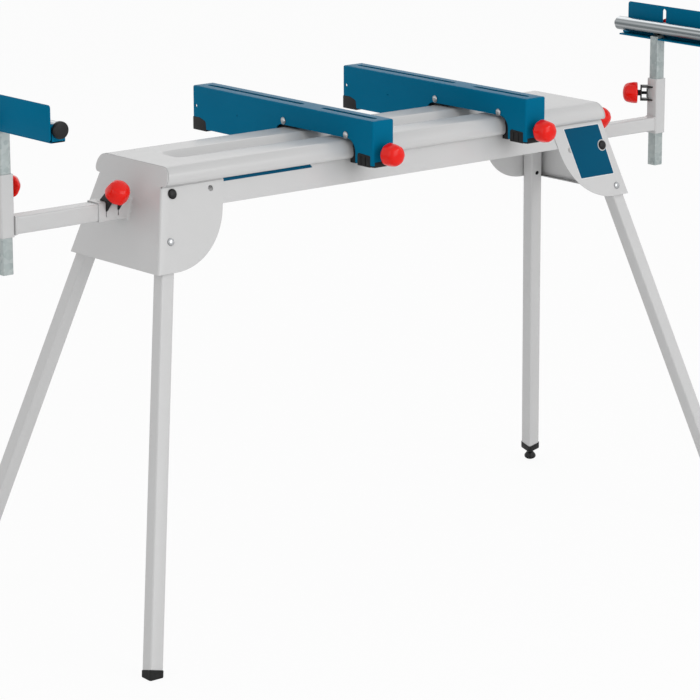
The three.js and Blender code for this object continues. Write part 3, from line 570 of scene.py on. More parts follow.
def beam():
    """One folded sheet. Its profile runs up the front wall, round both beads and down the back wall.

    The top is sunk between the beads by the depth times a smooth step across and a smooth step along.
    Every station has the same profile; only the last one slants with the end plate.
    """
    flat = VALLEY_HALF_WIDTH + VALLEY_MARGIN
    half = rounded([
        [-leaning(WALL_OFFSET, BEAM_LOW), BEAM_LOW, 0],
        [-leaning(WALL_OFFSET, BEAM_STUB), BEAM_STUB, 0],
        [-leaning(WALL_OFFSET, BEAD_BOTTOM), BEAD_BOTTOM, WALL_BEND_RADIUS],
        [-BEAD_REACH, BEAD_BOTTOM, BEAD_LOW_RADIUS],
        [-BEAD_REACH, BEAM_TOP, BEAD_TOP_RADIUS],
        [-flat, BEAM_TOP, 0], [0, BEAM_TOP, 0], [0, BEAM_LOW, 0],
    ], 10)[:-3]
    top = np.linspace(-flat, flat, VALLEY_POINTS)[1:-1]
    top = np.column_stack([top, np.full(len(top), BEAM_TOP)])
    profile = np.concatenate([half, top, half[::-1] * [-1, 1]])
    inner, outer = VALLEY_HALF_LENGTH - VALLEY_END - STATION_MARGIN, VALLEY_HALF_LENGTH + STATION_MARGIN
    ends = np.linspace(inner, outer, VALLEY_STATIONS)
    positive = np.concatenate([FIRST_STATIONS, ends[ends > WALL_HALF], LAST_STATIONS])
    stations = np.concatenate([-positive[:0:-1], positive])
    grid = np.zeros((len(stations) + 2, len(profile), 3))
    grid[1:-1, :, 0] = stations[:, None]
    grid[-1, :, 0] = plate_along(profile[:, 1], PLATE_SHEET + PLATE_GAP)
    grid[0, :, 0] = -grid[-1, :, 0]
    grid[:, :, 1:] = profile
    across = smooth((VALLEY_HALF_WIDTH - np.abs(grid[:, :, 1])) / VALLEY_SIDE)
    lengthways = smooth((VALLEY_HALF_LENGTH - np.abs(grid[:, :, 0])) / VALLEY_END)
    grid[:, :, 2] -= VALLEY_DEPTH * across * lengthways
    rows, count = grid.shape[:2]
    index = np.arange(rows * count).reshape(rows, count)
    quads = np.stack([index[:-1, :-1], index[1:, :-1], index[1:, 1:], index[:-1, 1:]], -1)
    middle_x = np.abs((grid[:-1, :-1, 0] + grid[1:, :-1, 0]) / 2)
    low = np.minimum(profile[:-1, 1], profile[1:, 1]) < BEAM_STUB - STUB_MARGIN
    used, faces = np.unique(quads[~((middle_x > WALL_HALF) & low)], return_inverse=True)
    sheet = finished("beam_sheet", grid.reshape(-1, 3)[used], faces.reshape(-1, 4).tolist())
    dress(thickened(sheet, BEAM_SHEET), "frame", grey, "main_beam")


beam()


# The end housings: an end plate, and cheeks folded round from it

NECK_DROP = 0.4
PIVOT_HOLE, BUTTON_HOLE, FOLDED_HOLE = 4.3, 6.5, 5
WINDOW_REACH = (440, 620)
WELD_WIDTH, WELD_ROOT, WELD_SUNK = 4.6, -0.6, -0.8
WELD_POINTS, WELD_RIPPLE, RIPPLE_STEP = 220, 0.22, 5.5
LIP_WIDTH = 9


def corner_frame(front):
    """Origin and axes of the plane of the legs: x along the beam, y up the slope, z outward."""
    turn = 1 if front else -1
    sine, cosine = math.sin(LEAN), math.cos(LEAN)
    origin = np.array([0, -turn * PIVOT_ACROSS, PIVOT_HEIGHT])
    return origin, np.array([[turn, 0, 0], [0, turn * sine, cosine], [0, -turn * cosine, sine]], float)


def corner(side, front):
    """A leg's pivot, its lock button when open and when folded, its axes, and how far its foot reaches.

    The leg's own axes are x along the beam, y inward and z up the leg.
    """
    drop = RIGHT_DROP if side > 0 else 0
    sign = side if front else -side
    origin, axes = corner_frame(front)
    sine, cosine = math.sin(LEG_TURN), math.cos(LEG_TURN)
    pivot = origin + np.array([sign * (PIVOT_ALONG + SPLAY_ALONG * drop), -drop / math.cos(LEAN), 0]) @ axes
    x_axis, up, out = np.array([[cosine, sign * sine, 0], [-sign * sine, cosine, 0], [0, 0, 1]]) @ axes
    return {
        "origin": pivot,
        "button": pivot + np.array([sign * BUTTON_REACH * sine, -BUTTON_REACH * cosine, 0]) @ axes,
        "folded": pivot - sign * BUTTON_REACH * axes[0],
        "axes": axes,
        "leg": (x_axis, -out, up),
        "reach": (PIVOT_HEIGHT - drop) * LEG_SLOPE,
    }


CORNERS = {f"{name}_{end}": corner(side, end == "front") for side, name in SIDES for end in ("front", "back")}


def housing_rows():
    """The housing's sheet for the right end, as rows at falling heights: first the top, then the fold.

    A top row is the plate alone, as wide as the beads' two arcs at its height. A lower row runs in
    along one cheek, turns through a quarter circle of the fold radius, crosses the plate and runs back
    along the other cheek. The cheek's inner edge is a straight slant that ends in a big arc.
    """
    share = np.linspace(1, -1, 15)
    turn = quarter(10)[::-1]
    high = BEAD_TOP_RADIUS * np.column_stack([np.cos(turn) - 1, np.sin(turn) - 1])
    turn = -quarter(7)
    low = BEAD_LOW_RADIUS * np.column_stack([np.cos(turn) - 1, np.sin(turn) + 1])
    neck = [[leaning(WALL_OFFSET, BEAD_BOTTOM), BEAD_BOTTOM - NECK_DROP]]
    foot = [[leaning(CHEEK_OFFSET, CHEEK_TOP) - FOLD_RADIUS, CHEEK_TOP]]
    widths = np.concatenate([[BEAD_REACH, BEAM_TOP] + high, [BEAD_REACH, BEAD_BOTTOM] + low, neck, foot])
    top = np.zeros((len(widths), len(share), 3))
    top[:, :, 0] = plate_along(widths[:, 1])[:, None]
    top[:, :, 1] = widths[:, :1] * share
    top[:, :, 2] = widths[:, 1:]

    edge = rounded([
        [CHEEK_INNER, CHEEK_TOP, 0],
        [CHEEK_INNER + CHEEK_INNER_LEAN * (CHEEK_TOP - HOUSING_LOW), HOUSING_LOW, CHEEK_BIG_RADIUS],
        [plate_along(HOUSING_LOW) - FOLD_RADIUS, HOUSING_LOW, 0],
        [PLATE_HALF, CHEEK_TOP, 0],
    ], 26)[:-2]
    edge = np.concatenate([np.linspace(edge[0], edge[1], 8)[:-1], edge[1:]])
    height = edge[:, 1:]
    half = leaning(CHEEK_OFFSET, height)
    reach = plate_along(height)
    bend = quarter(8)[::-1]
    bend_x = reach - FOLD_RADIUS * (1 - np.cos(bend))
    bend_y = half - FOLD_RADIUS * (1 - np.sin(bend))
    flat = np.linspace(0, 1, 9)[:-1]
    x = np.hstack([edge[:, :1] + (bend_x[:, :1] - edge[:, :1]) * flat, bend_x])
    y = np.hstack([np.repeat(half, len(flat), 1), bend_y])
    across = (half - FOLD_RADIUS) * share[1:-1]
    x = np.hstack([x, np.repeat(reach, len(share) - 2, 1), x[:, ::-1]])
    y = np.hstack([y, across, -y[:, ::-1]])
    return top, np.stack([x, y, np.repeat(height, x.shape[1], 1)], -1)


def housing(side, name):
    """End plate and both cheeks in one folded sheet, with the collar's window and the cheeks' holes."""
    points, faces = joined(skin(rows * [side, 1, 1], closed=False) for rows in housing_rows())
    sheet = finished(f"{name}_housing_sheet", points, [f[::side] for f in faces])
    window = square(COLLAR_HALF + PLATE_GAP)
    holes = [mirrored(slab(window, *WINDOW_REACH, origin=[0, 0, ARM_HEIGHT]), side)]
    for end in ("front", "back"):
        spot = CORNERS[f"{name}_{end}"]
        for what, radius in (("origin", PIVOT_HOLE), ("button", BUTTON_HOLE), ("folded", FOLDED_HOLE)):
            holes.append(cylinder(radius, 5, 40, BOLT_SIDES, spot[what], spot["axes"]))
    dress(cut(thickened(sheet, CHEEK_SHEET), holes), "frame", grey, f"{name}_end_housing")


def plate_lip(side, name):
    """The end plate's bottom edge, folded inwards."""
    reach = plate_along(HOUSING_LOW) - 1
    half = leaning(CHEEK_OFFSET, HOUSING_LOW) - 3
    inner = reach - LIP_WIDTH
    outline = rounded([[inner, -half, 2], [reach, -half, 0], [reach, half, 0], [inner, half, 2]])
    lip = slab(outline, HOUSING_LOW, HOUSING_LOW + CHEEK_SHEET, axes=UPRIGHT)
    piece(f"{name}_plate_lip", [mirrored(lip, side)], "frame", grey)


def collar_weld(side, name):
    """A hollow fillet round the collar where it leaves the end plate, with the weld's fine ripple.

    Its section is a quarter circle. The ripple is a sine wave along the outline, and only swells what
    stands clear of the plate and of the collar.
    """
    turn = quarter(6)
    curve = zip(WELD_WIDTH * (1 - np.sin(turn)), WELD_WIDTH * (1 - np.cos(turn)))
    outline = evenly(square(COLLAR_HALF), WELD_POINTS)
    ripple = WELD_RIPPLE * np.sin(np.arange(WELD_POINTS) * 2 * math.pi / RIPPLE_STEP)
    hoops = []
    for out, rise in [(WELD_ROOT, WELD_SUNK), (WELD_WIDTH, WELD_SUNK), *curve, (WELD_ROOT, WELD_WIDTH)]:
        swell = ripple * min(1, max(0, min(out, rise) * 1.2))
        y, z = shrunk(outline, -out).T
        z = ARM_HEIGHT + z
        hoops.append(np.column_stack([plate_along(z) + rise + swell, y, z]))
    weld = mirrored(skin(hoops, wrap=True), side)
    piece(f"{name}_collar_weld", [weld], "frame", grey, sharp=WELD_CREASE)


for side, name in SIDES:
    housing(side, name)
    plate_lip(side, name)
    collar_weld(side, name)


# Legs and what is on them: [inset, height] for hoops of a cap, [radius, height] for turned pieces

CAP_WALL = 1.1
LEG_OUTLINE = square(LEG_HALF)
CAP_OUTLINE = square(LEG_HALF + CAP_WALL, TUBE_RADIUS + 1)
CAP_SOLE = ((1.6, 0), (0.4, 0.5), (0, 1.8))
CAP_RIM = ((0, 1.2), (0.3, 1.8), (0.7, 2), (1, 1.7), (1, 0))
SOCKET = ((1.6, -9), (0.4, -8.6), (0, -7.4), (0, 4.4), (0.4, 5), (1, 4.6), (1, 0))
FOOT_BALL, FOOT_RADIUS, FOOT_HEIGHT = 16, 11, 15
THREAD_RADIUS, THREAD_ROOT, THREAD_PITCH = 3.6, 3.15, 1.25
THREAD_END, STEM_END = 28, 33
BUTTON_BORE = 8.4
BUTTON_RADIUS, BUTTON_RISE = 6.2, 2.6
BUTTON_RIM = CHEEK_OFFSET + 1
CAP_SEAT = CHEEK_OFFSET + 0.3
CAP_DOME = CAP_SEAT + 1.2
BUTTON_PROFILE = [
    [0, 12.8], [8, 12.8], [8, 14.9], [BUTTON_RADIUS, 14.9], [BUTTON_RADIUS, BUTTON_RIM],
    *dome(BUTTON_RADIUS, BUTTON_RISE, BUTTON_RIM, 8),
]
PIVOT_PROFILE = [
    [0, -18.8], [7.5, -18.8], [7.5, -12.8], [4, -12.8], [4, 12.8], [8, 12.8], [8, 14.9], [4, 14.9],
    [4, CAP_SEAT], [8.1, CAP_SEAT], [8.5, CAP_SEAT + 0.4], [8.5, CAP_DOME], *dome(8.2, 3.3, CAP_DOME, 8),
]
RIVET_PROFILE = [[0, -14.4], [2.2, -14.4], [3.4, -13.8], [3.8, -12.9], [3.8, -12.4], [0, -12.4]]


def foot_cap(spot, end):
    """A rubber cap. Each point of its sole is as far down the leg as the floor under it."""
    x_axis, y_axis, up = spot["leg"]
    hoops = []
    for inset, lift in CAP_SOLE:
        x, y = shrunk(CAP_OUTLINE, inset).T
        floor = -(spot["origin"][2] + x * x_axis[2] + y * y_axis[2]) / up[2]
        hoops.append(np.column_stack([x, y, floor + lift]))
    hoops += [hoop(CAP_OUTLINE, inset, level - end) for inset, level in CAP_RIM]
    return skin(along(hoops, spot["origin"], *spot["leg"]))


def socket(spot, end):
    """A plastic cap, open for the levelling foot's stem."""
    hoops = [hoop(CAP_OUTLINE, inset, level - end) for inset, level in SOCKET]
    return skin(along(hoops, spot["origin"], *spot["leg"]))


def levelling_foot(spot):
    """A foot with a ball's sole and a threaded stem, turned about the leg's axis."""
    centre = -spot["reach"] + FOOT_BALL * LEG_SLOPE
    angle = np.linspace(0, math.asin(FOOT_RADIUS / FOOT_BALL), 9)
    sole = [[FOOT_BALL * math.sin(a), centre - FOOT_BALL * math.cos(a)] for a in angle]
    edge, top = sole[-1][1], centre - FOOT_BALL + FOOT_HEIGHT
    plate = [
        [11.2, edge + 0.4], [11.2, edge + 2], [10.6, edge + 3.2],
        [7.4, top - 2], [6, top - 0.6], [5.4, top], [THREAD_RADIUS, top],
    ]
    thread = []
    for level in np.arange(top + 1, top + THREAD_END, THREAD_PITCH):
        thread += [[THREAD_RADIUS, level], [THREAD_ROOT, level + 0.62]]
    profile = [*sole, *plate, *thread, [3.4, top + STEM_END], [0, top + STEM_END]]
    return lathe(profile, BOLT_SIDES, spot["origin"], spot["leg"])


for name, spot in CORNERS.items():
    pivot, button, axes, body = spot["origin"], spot["button"], spot["axes"], f"{name}_leg"
    levelling = name == "right_back"
    end = spot["reach"] - (LEVELLING_LEG_END if levelling else LEG_END) * LEG_SLOPE
    leg = tube(LEG_OUTLINE, TUBE_WALL, -end, LEG_TOP, EDGE, pivot, spot["leg"])
    bore = cylinder(BUTTON_BORE, 8, 18, BOLT_SIDES, button, axes)
    piece(f"{name}_leg_tube", [leg], body, grey, body, holes=[bore])
    if levelling:
        piece("levelling_socket", [socket(spot, end)], body, black, "levelling_foot_socket")
        turned = levelling_foot(spot)
        piece("levelling_screw_foot", [turned], "levelling_foot", black, "levelling_foot")
    else:
        piece(f"{name}_foot", [foot_cap(spot, end)], body, rubber, f"{name}_foot_cap")
    turned = lathe(PIVOT_PROFILE, BOLT_SIDES, pivot, axes)
    piece(f"{name}_pivot_cap", [turned], "frame", black, f"{body}_pivot")
    turned = lathe(BUTTON_PROFILE, BOLT_SIDES, button, axes)
    piece(f"{name}_button", [turned], f"{name}_button", steel, f"{name}_lock_button")
    turned = lathe(RIVET_PROFILE, HOLE_SIDES, button, axes)
    piece(f"{name}_button_rivet", [turned], body, black_steel)


# Knobs. The profile's columns: share of the length, share of the radius, share of the flutes' depth

KNOB_PROFILE = np.array([
    [0, 0.8, 0.7], [0.012, 0.93, 0.9], [0.05, 0.985, 1], [0.12, 1, 1], [0.25, 1, 1], [0.4, 0.975, 1],
    [0.55, 0.94, 1], [0.68, 0.9, 1], [0.78, 0.84, 0.95], [0.86, 0.74, 0.8], [0.92, 0.6, 0.5],
    [0.96, 0.44, 0.2], [0.985, 0.26, 0.05], [1, 0, 0],
])
KNOB_RADIUS, KNOB_LENGTH, KNOB_STEM = 20, 28, 7
FLUTES, FLUTE_DEPTH = 8, 0.03
LONG_BOSS, LONG_BOSS_START, SHORT_BOSS = 6, 0.5, 0.2
STUD_RADIUS, STUD_ROOT, STUD_COLLAR = 3, 2.7, 5.5
KNOB_SEAT = 12.5
UP_FRONT = np.array([0, -1, 1]) / math.sqrt(2)
STOP_KNOB_OFFSET, STOP_KNOB_DROP = 20.6, 3
STOP_MIDDLE = 1
MOUNT_KNOB_GAP = 0.3


def knob(origin, axis, boss):
    """A fluted knob about its axis.

    The radius is the head's own profile, less a small cosine wave round the axis. The wave
    is strongest on the side and dies out towards the dome's middle.
    """
    height, share, fade = KNOB_PROFILE.T
    ring = circle(KNOB_SIDES)
    wave = (1 - np.cos(FLUTES * np.linspace(0, 2 * math.pi, KNOB_SIDES, endpoint=False))) / 2
    radius = KNOB_RADIUS * share[:, None] * (1 - FLUTE_DEPTH * fade[:, None] * wave[None])
    head = radius[:, :, None] * ring + (boss + KNOB_LENGTH * height)[:, None, None] * Z
    start = LONG_BOSS_START if boss > LONG_BOSS else boss - SHORT_BOSS
    stem = [ring * r + Z * level for r, level in ((0, start), (KNOB_STEM, start), (KNOB_STEM, boss))]
    return skin(along([*stem, *head], origin, *axes_about(axis)), capped=False)


def stud(origin, axis, length, collar):
    """The knob's threaded stud: a fine saw-tooth profile, with a collar under the knob."""
    thread = []
    for step in np.arange(-length + 1.5, -1, 1.0):
        thread += [[STUD_RADIUS, step], [STUD_ROOT, step + 0.5]]
    profile = [
        [0, -length], [2.2, -length], [STUD_RADIUS, -length + 0.8], *thread, [STUD_RADIUS, -0.4],
        [STUD_COLLAR, -0.4], [STUD_COLLAR, collar], [0, collar],
    ]
    return lathe(profile, STUD_SIDES, origin, axes_about(axis))


def knob_set(name, origin, axis, boss, length, collar):
    """A knob and its stud."""
    piece(f"{name}_head", [knob(origin, axis, boss)], name, red, name, sharp=KNOB_CREASE)
    piece(f"{name}_stud", [stud(origin, axis, length, collar)], name, black_steel)


for side, name in SIDES:
    reach = COLLAR_HALF * math.sqrt(2) + KNOB_SEAT
    spot = np.array([side * ARM_KERF_ALONG, 0, ARM_HEIGHT]) + UP_FRONT * reach
    knob_set(f"{name}_arm_knob", spot, UP_FRONT, boss=1, length=12, collar=1.4)
    diagonal = np.array([-side, 1, 0]) / math.sqrt(2)
    reach = SLEEVE_HALF * math.sqrt(2) + KNOB_SEAT
    spot = np.array([POSTS[name], 0, ARM_HEIGHT + POST_KERF_HEIGHT]) + diagonal * reach
    knob_set(f"{name}_post_knob", spot, diagonal, boss=4.5, length=12, collar=4.9)
    spot = [POSTS[name] + side * STOP_KNOB_OFFSET, STOP_MIDDLE, ROLLER_HEIGHT - STOP_KNOB_DROP]
    knob_set(f"{name}_stop_knob", spot, [side, 0, 0], boss=3, length=5, collar=2)
    spot = [BARS[name], BAR_FRONT - MOUNT_KNOB_GAP, MOUNT_KNOB_HEIGHT]
    knob_set(f"{name}_mount_knob", spot, [0, -1, 0], boss=13.5, length=57, collar=2)


# Tubes: collars, arms, sleeves and posts. The bead's pairs are how far out and how far along

COLLAR_EDGE = 0.4
COLLAR_CUT = oblong(-19, 0.2, -8.5, 19, 0)
SLEEVE_CUT_FAR = 15
BEAD_SECTION = ((-0.5, -0.25), (1.5, -0.25), (1.7, 1), (1.3, 2.6), (0.8, 4.2), (0.3, 5.4), (-0.5, 5.6))
BEAD_SHARE = {"left": 1, "right": 0.45}
BEAD_POINTS, BEAD_RIPPLE, BEAD_RIPPLE_STEP = 160, 0.006, 5


def saw_cuts(outline, middle, spacing, origin, axes):
    """Two thin slabs to cut a tube with, to either side of a place."""
    places = (middle - spacing / 2, middle + spacing / 2)
    return [slab(outline, spot - KERF / 2, spot + KERF / 2, FINE_EDGE, origin, axes) for spot in places]


def sleeve_weld(name, half, origin, axes):
    """A bead round the arm's end, and the plate that closes it. The bead's ripple is a sine wave."""
    outline = evenly(square(half), BEAD_POINTS)
    hoops = np.array([hoop(outline, -out, rise * BEAD_SHARE[name]) for out, rise in BEAD_SECTION])
    wave = np.sin(np.arange(BEAD_POINTS) * 2 * math.pi / BEAD_RIPPLE_STEP)
    hoops[:, :, :2] *= 1 + BEAD_RIPPLE * wave[:, None]
    plate = slab(square(half - 0.1), 0.05, 1.4, 0.2, origin, axes)
    bead = skin(along(hoops, origin, *axes), wrap=True)
    piece(f"{name}_sleeve_weld", [bead, plate], f"{name}_arm", grey, sharp=WELD_CREASE)


for side, name in SIDES:
    post = POSTS[name]
    half = ARM_HALVES[name]
    outline = square(COLLAR_HALF)
    middle = [0, 0, ARM_HEIGHT]
    collar = tube(outline, COLLAR_WALL, COLLAR_END - COLLAR_LENGTH, COLLAR_END, COLLAR_EDGE, middle, ALONG_X)
    cuts = saw_cuts(COLLAR_CUT, side * ARM_KERF_ALONG, side * ARM_KERF_SPACING, middle, ALONG_X)
    piece(f"{name}_collar", [mirrored(collar, side)], "frame", grey, f"{name}_arm_collar", holes=cuts)

    start, inward = [post - side * (SLEEVE_HALF + 0.3), 0, ARM_HEIGHT], (Y, Z, -side * X)
    arm = tube(square(half), TUBE_WALL, 0, ARM_LENGTH, EDGE, start, inward)
    piece(f"{name}_arm_tube", [arm], f"{name}_arm", grey, f"{name}_extension_arm")
    sleeve_weld(name, half, start, inward)

    middle = [post, 0, ARM_HEIGHT]
    sleeve = tube(square(SLEEVE_HALF), COLLAR_WALL, SLEEVE_LOW, SLEEVE_HIGH, COLLAR_EDGE, middle)
    reach = SLEEVE_HALF - POST_KERF_DEPTH
    outline = oblong(-side * reach, -side * SLEEVE_CUT_FAR, reach, SLEEVE_CUT_FAR, 0)
    cuts = saw_cuts(outline, POST_KERF_HEIGHT, POST_KERF_SPACING, middle, UPRIGHT)
    piece(f"{name}_sleeve", [sleeve], f"{name}_arm", grey, f"{name}_post_sleeve", holes=cuts)

    top = ROLLER_HEIGHT - POST_DROP
    upright = tube(square(POST_HALF, POST_RADIUS), TUBE_WALL, top - POST_LENGTH, top, EDGE, [post, 0, 0])
    piece(f"{name}_post_tube", [upright], f"{name}_post", zinc, f"{name}_post")


# Roller heads: a roller on its axle, a bracket and a stop plate. Profiles are [radius, place along y]

ROLLER = [[4.3, -160], [11.9, -160], [12.5, -159.4], [12.5, 103.4], [11.9, 104], [4.3, 104]]
ROLLER_CAP = [
    [0, -171.3], [11.4, -171.3], [12.8, -170.9], [13.7, -169.8],
    [14, -168.4], [14, -163.6], [13.7, -163.3], [0, -163.3],
]
AXLE_NUT = [
    [0, -163.2], [4, -163.2], [4, 107.3], [5.6, 107.3], [6, 107.7], [6, 111.3], [5, 112.3], [0, 112.3],
]
BRACKET_DISC = [[0, 0], [8.7, 0], [9, 0.3], [9, 2.2], [8.7, 2.5], [0, 2.5]]
HEAD_FRONT, HEAD_BACK = -163, 107
BRACKET_LOW, BRACKET_HIGH = ROLLER_HEIGHT - 20, ROLLER_HEIGHT + 10
WEB_INNER, WEB_OUTER = 15.25, 17.25
NECK_LOW, NECK_HIGH = ROLLER_HEIGHT - 6, ROLLER_HEIGHT + 6
EAR_SHEET, EAR_INNER = 2.5, -9.8
TRAY_SHORT, TRAY_HALF, TRAY_OFFSET = 7.5, 13.4, 3.7
NOTCH_HEIGHTS, NOTCH_OUTLINE = (853, 868), square(POST_HALF + 0.3, 1)
STOP_INNER, STOP_SHEET, STOP_EDGE = 17.55, 2.5, 0.5
STOP_OUTLINE = oblong(-164, 96, 866, 923, 5)
STOP_SLOT = stadium(STOP_MIDDLE, 875, 918, 5)

for side, name in SIDES:
    axis = [POSTS[name] + side * ROLLER_OFFSET, 0, ROLLER_HEIGHT]
    roller = lathe(ROLLER, ROLLER_SIDES, axis, SPIN_ALONG_Y, wrap=True)
    piece(f"{name}_roller_tube", [roller], f"{name}_roller", roller_steel_painted_reflections, f"{name}_roller")
    cap = lathe(ROLLER_CAP, CAP_SIDES, axis, SPIN_ALONG_Y)
    piece(f"{name}_roller_cap", [cap], f"{name}_post", black, f"{name}_roller_axle")
    nut = lathe(AXLE_NUT, CAP_SIDES, axis, SPIN_ALONG_Y)
    piece(f"{name}_roller_nut", [nut], f"{name}_post", steel)


def roller_bracket(side, post):
    """A folded bracket: a floor under the roller, a web beside it and an ear at each end."""
    middle, reach = (HEAD_FRONT + HEAD_BACK) / 2, (HEAD_BACK - HEAD_FRONT) / 2
    floor = rectangle(reach - TRAY_SHORT, TRAY_HALF, 1.5) + [middle - TRAY_SHORT, TRAY_OFFSET]
    low, high = BRACKET_LOW, BRACKET_HIGH
    web = rounded([[HEAD_FRONT, low, 2], [HEAD_BACK, low, 2], [HEAD_BACK, high, 4], [HEAD_FRONT, high, 4]])
    ear = rounded([[EAR_INNER, low, 2], [WEB_OUTER, low, 1], [WEB_OUTER, high, 4], [EAR_INNER, high, 9]])
    neck = rounded([[2, NECK_LOW, 0], [WEB_OUTER, NECK_LOW, 1], [WEB_OUTER, NECK_HIGH, 1], [2, NECK_HIGH, 0]])
    back = HEAD_BACK - EAR_SHEET
    parts = [
        slab(floor, low, low + EAR_SHEET, axes=(Y, X, Z)),
        slab(web, WEB_INNER, WEB_OUTER),
        slab(ear, 0, EAR_SHEET, origin=[0, HEAD_FRONT, 0], axes=ALONG_Y),
        slab(neck, 0, EAR_SHEET, origin=[0, back, 0], axes=ALONG_Y),
        lathe(BRACKET_DISC, CAP_SIDES, [2, back, ROLLER_HEIGHT], SPIN_ALONG_Y),
    ]
    return [mirrored(part, side, post) for part in parts]


for side, name in SIDES:
    post = POSTS[name]
    parts = roller_bracket(side, post)
    notch = slab(NOTCH_OUTLINE, *NOTCH_HEIGHTS, origin=[post, 0, 0], axes=UPRIGHT)
    piece(f"{name}_roller_tray", parts[:1], f"{name}_post", blue, holes=[notch])
    piece(f"{name}_roller_frame", parts[1:], f"{name}_post", blue, f"{name}_roller_bracket")
    sheet = mirrored(slab(STOP_OUTLINE, STOP_INNER, STOP_INNER + STOP_SHEET, STOP_EDGE), side, post)
    slot = mirrored(slab(STOP_SLOT, STOP_INNER - 5, STOP_INNER + 8), side, post)
    piece(f"{name}_stop_sheet", [sheet], f"{name}_stop", blue, f"{name}_stop_plate", holes=[slot])


# Clips: two blades in the saw cuts, with arms outside the tube that carry a plate

CLIP_REACH, CLIP_SHEET = 12.2, 3
LIP_RISE = 1.8
BLADE_HALF, CLIP_ARM_HALF = 0.95, 1.3
BRIDGE_HALF, BRIDGE_INNER_HALF = 11, 9.5
SHOE_HALF, SHOE_LEG = 8.5, 9


def clip(outer, inner, spacing, reach, origin, axes):
    """The tube's corner lies along +x+y, and the blades are stacked along z."""
    far = outer * math.sqrt(2) + CLIP_REACH
    near = far - CLIP_SHEET
    tip, lip = outer - reach, outer + LIP_RISE

    def at(out, across):
        """A point so far out along the diagonal, and so far across it."""
        return [(out + across) / math.sqrt(2), (out - across) / math.sqrt(2)]

    blade = np.array([[inner, inner], [inner, tip], [lip, tip], [lip, lip], [tip, lip], [tip, inner]])
    wall = outer + 0.3
    arm = rounded([
        [wall, tip, 0], [lip, tip, 0], [*at(far, BRIDGE_HALF), 1],
        [*at(far, -BRIDGE_HALF), 1], [tip, lip, 0], [tip, wall, 0], [wall, wall, 0],
    ], 3)
    parts = []
    for middle in (-spacing / 2, spacing / 2):
        parts.append(slab(blade, middle - BLADE_HALF, middle + BLADE_HALF, CUTTER_EDGE, origin, axes))
        parts.append(slab(arm, middle - CLIP_ARM_HALF, middle + CLIP_ARM_HALF, 0.35, origin, axes))
    bridge = rounded([
        [*at(near, BRIDGE_INNER_HALF), 0.5], [*at(far, BRIDGE_HALF), 1],
        [*at(far, -BRIDGE_HALF), 1], [*at(near, -BRIDGE_INNER_HALF), 0.5],
    ], 3)
    parts.append(slab(bridge, -spacing / 2 - CLIP_ARM_HALF, spacing / 2 + CLIP_ARM_HALF, 0.5, origin, axes))
    return parts


def shoe(outer, origin, axes):
    """The angle piece between the saw cuts: the stud presses it on the tube's corner."""
    low, high = outer + 0.15, outer + 2
    angle = rounded([
        [high - SHOE_LEG, low, 0.6], [low, low, TUBE_RADIUS], [low, high - SHOE_LEG, 0.6],
        [high, high - SHOE_LEG, 0.6], [high, high, TUBE_RADIUS + 2], [high - SHOE_LEG, high, 0.6],
    ], 5)
    return slab(angle, -SHOE_HALF, SHOE_HALF, EDGE, origin, axes)


for side, name in SIDES:
    origin, axes = [side * ARM_KERF_ALONG, 0, ARM_HEIGHT], (-Y, Z, -X)
    piece(f"{name}_arm_shoe", [shoe(COLLAR_HALF, origin, axes)], "frame", zinc)
    parts = clip(COLLAR_HALF, 14.85, ARM_KERF_SPACING, 15.8, origin, axes)
    piece(f"{name}_arm_grip", parts, "frame", black, f"{name}_arm_clip")
    origin, axes = [POSTS[name], 0, ARM_HEIGHT + POST_KERF_HEIGHT], (-side * X, Y, -side * Z)
    piece(f"{name}_post_shoe", [shoe(SLEEVE_HALF, origin, axes)], f"{name}_arm", zinc)
    parts = clip(SLEEVE_HALF, 10.3, POST_KERF_SPACING, 14, origin, axes)
    piece(f"{name}_post_grip", parts, f"{name}_arm", black, f"{name}_post_clip")


# Crossbars. Outlines of what is at the ends are [y, z, radius]; holes are place, radius and reach

BAR_SLOTS = ((-143, 0), (51, 320))
SLOT_HALF = 5
BAR_TOP_RADIUS = 3
PIN_HOLE = 3.3
THROUGH = 24.5
BAR_HOLES = (
    ((328.5, 787), 2.9, THROUGH), ((209, 784), 1.3, -19),
    (JAW_PIN, PIN_HOLE, THROUGH), (PAD_PIN, PIN_HOLE, THROUGH),
)
OPENINGS = (
    [[-155, 735, 0], [-121, 735, 0], [-121, 765.5, 5], [-155, 763.6, 2]],
    [[298, 735, 0], [345, 735, 0], [345, 767, 0], [318, 767, 5], [301, 762, 6]],
)
FEET_LOW = BAR_FOOT - 3.5
BLOCK, LIP, EAR = 20.2, 18.6, BAR_HALF + 0.3
FEET = (
    ([[-159, FEET_LOW, 1], [-121.5, FEET_LOW, 1], [-121.5, 762.5, 2], [-159, 762.5, 2]], BLOCK),
    ([[-161.8, FEET_LOW, 0.8], [-155, FEET_LOW, 1], [-155, 752.6, 1], [-161.8, 752.6, 0.5]], LIP),
    ([[-154.7, FEET_LOW, 1.5], [-121.3, FEET_LOW, 1.5], [-121.3, 765.2, 4.7], [-154.7, 763.3, 1.7]], EAR),
    ([[300, FEET_LOW, 1], [337, FEET_LOW, 1], [337, 765, 2], [303, 765, 2]], BLOCK),
    ([
        [298.3, FEET_LOW, 1.5], [337.8, FEET_LOW, 1.5], [337.8, 766.7, 1],
        [318, 766.7, 4.7], [301.2, 761.8, 5.7],
    ], EAR),
)
GROOVES, GROOVE_HALF, GROOVE_LOW, GROOVE_TOP, GROOVE_RADIUS = (-131.5, -143.5), 1.2, 735, 761, 1.1
PAD_HALF = 13
PAD_SHOULDER_MIDDLE = (79, 761)
PAD_SHOULDER_RADIUS = 20.4
HALF_BOLT = [[3, 23.3], [5.9, 23.3], [6.3, 23.6], [6.3, 24.3], *dome(5.4, 2.5, 24.3, 7)]
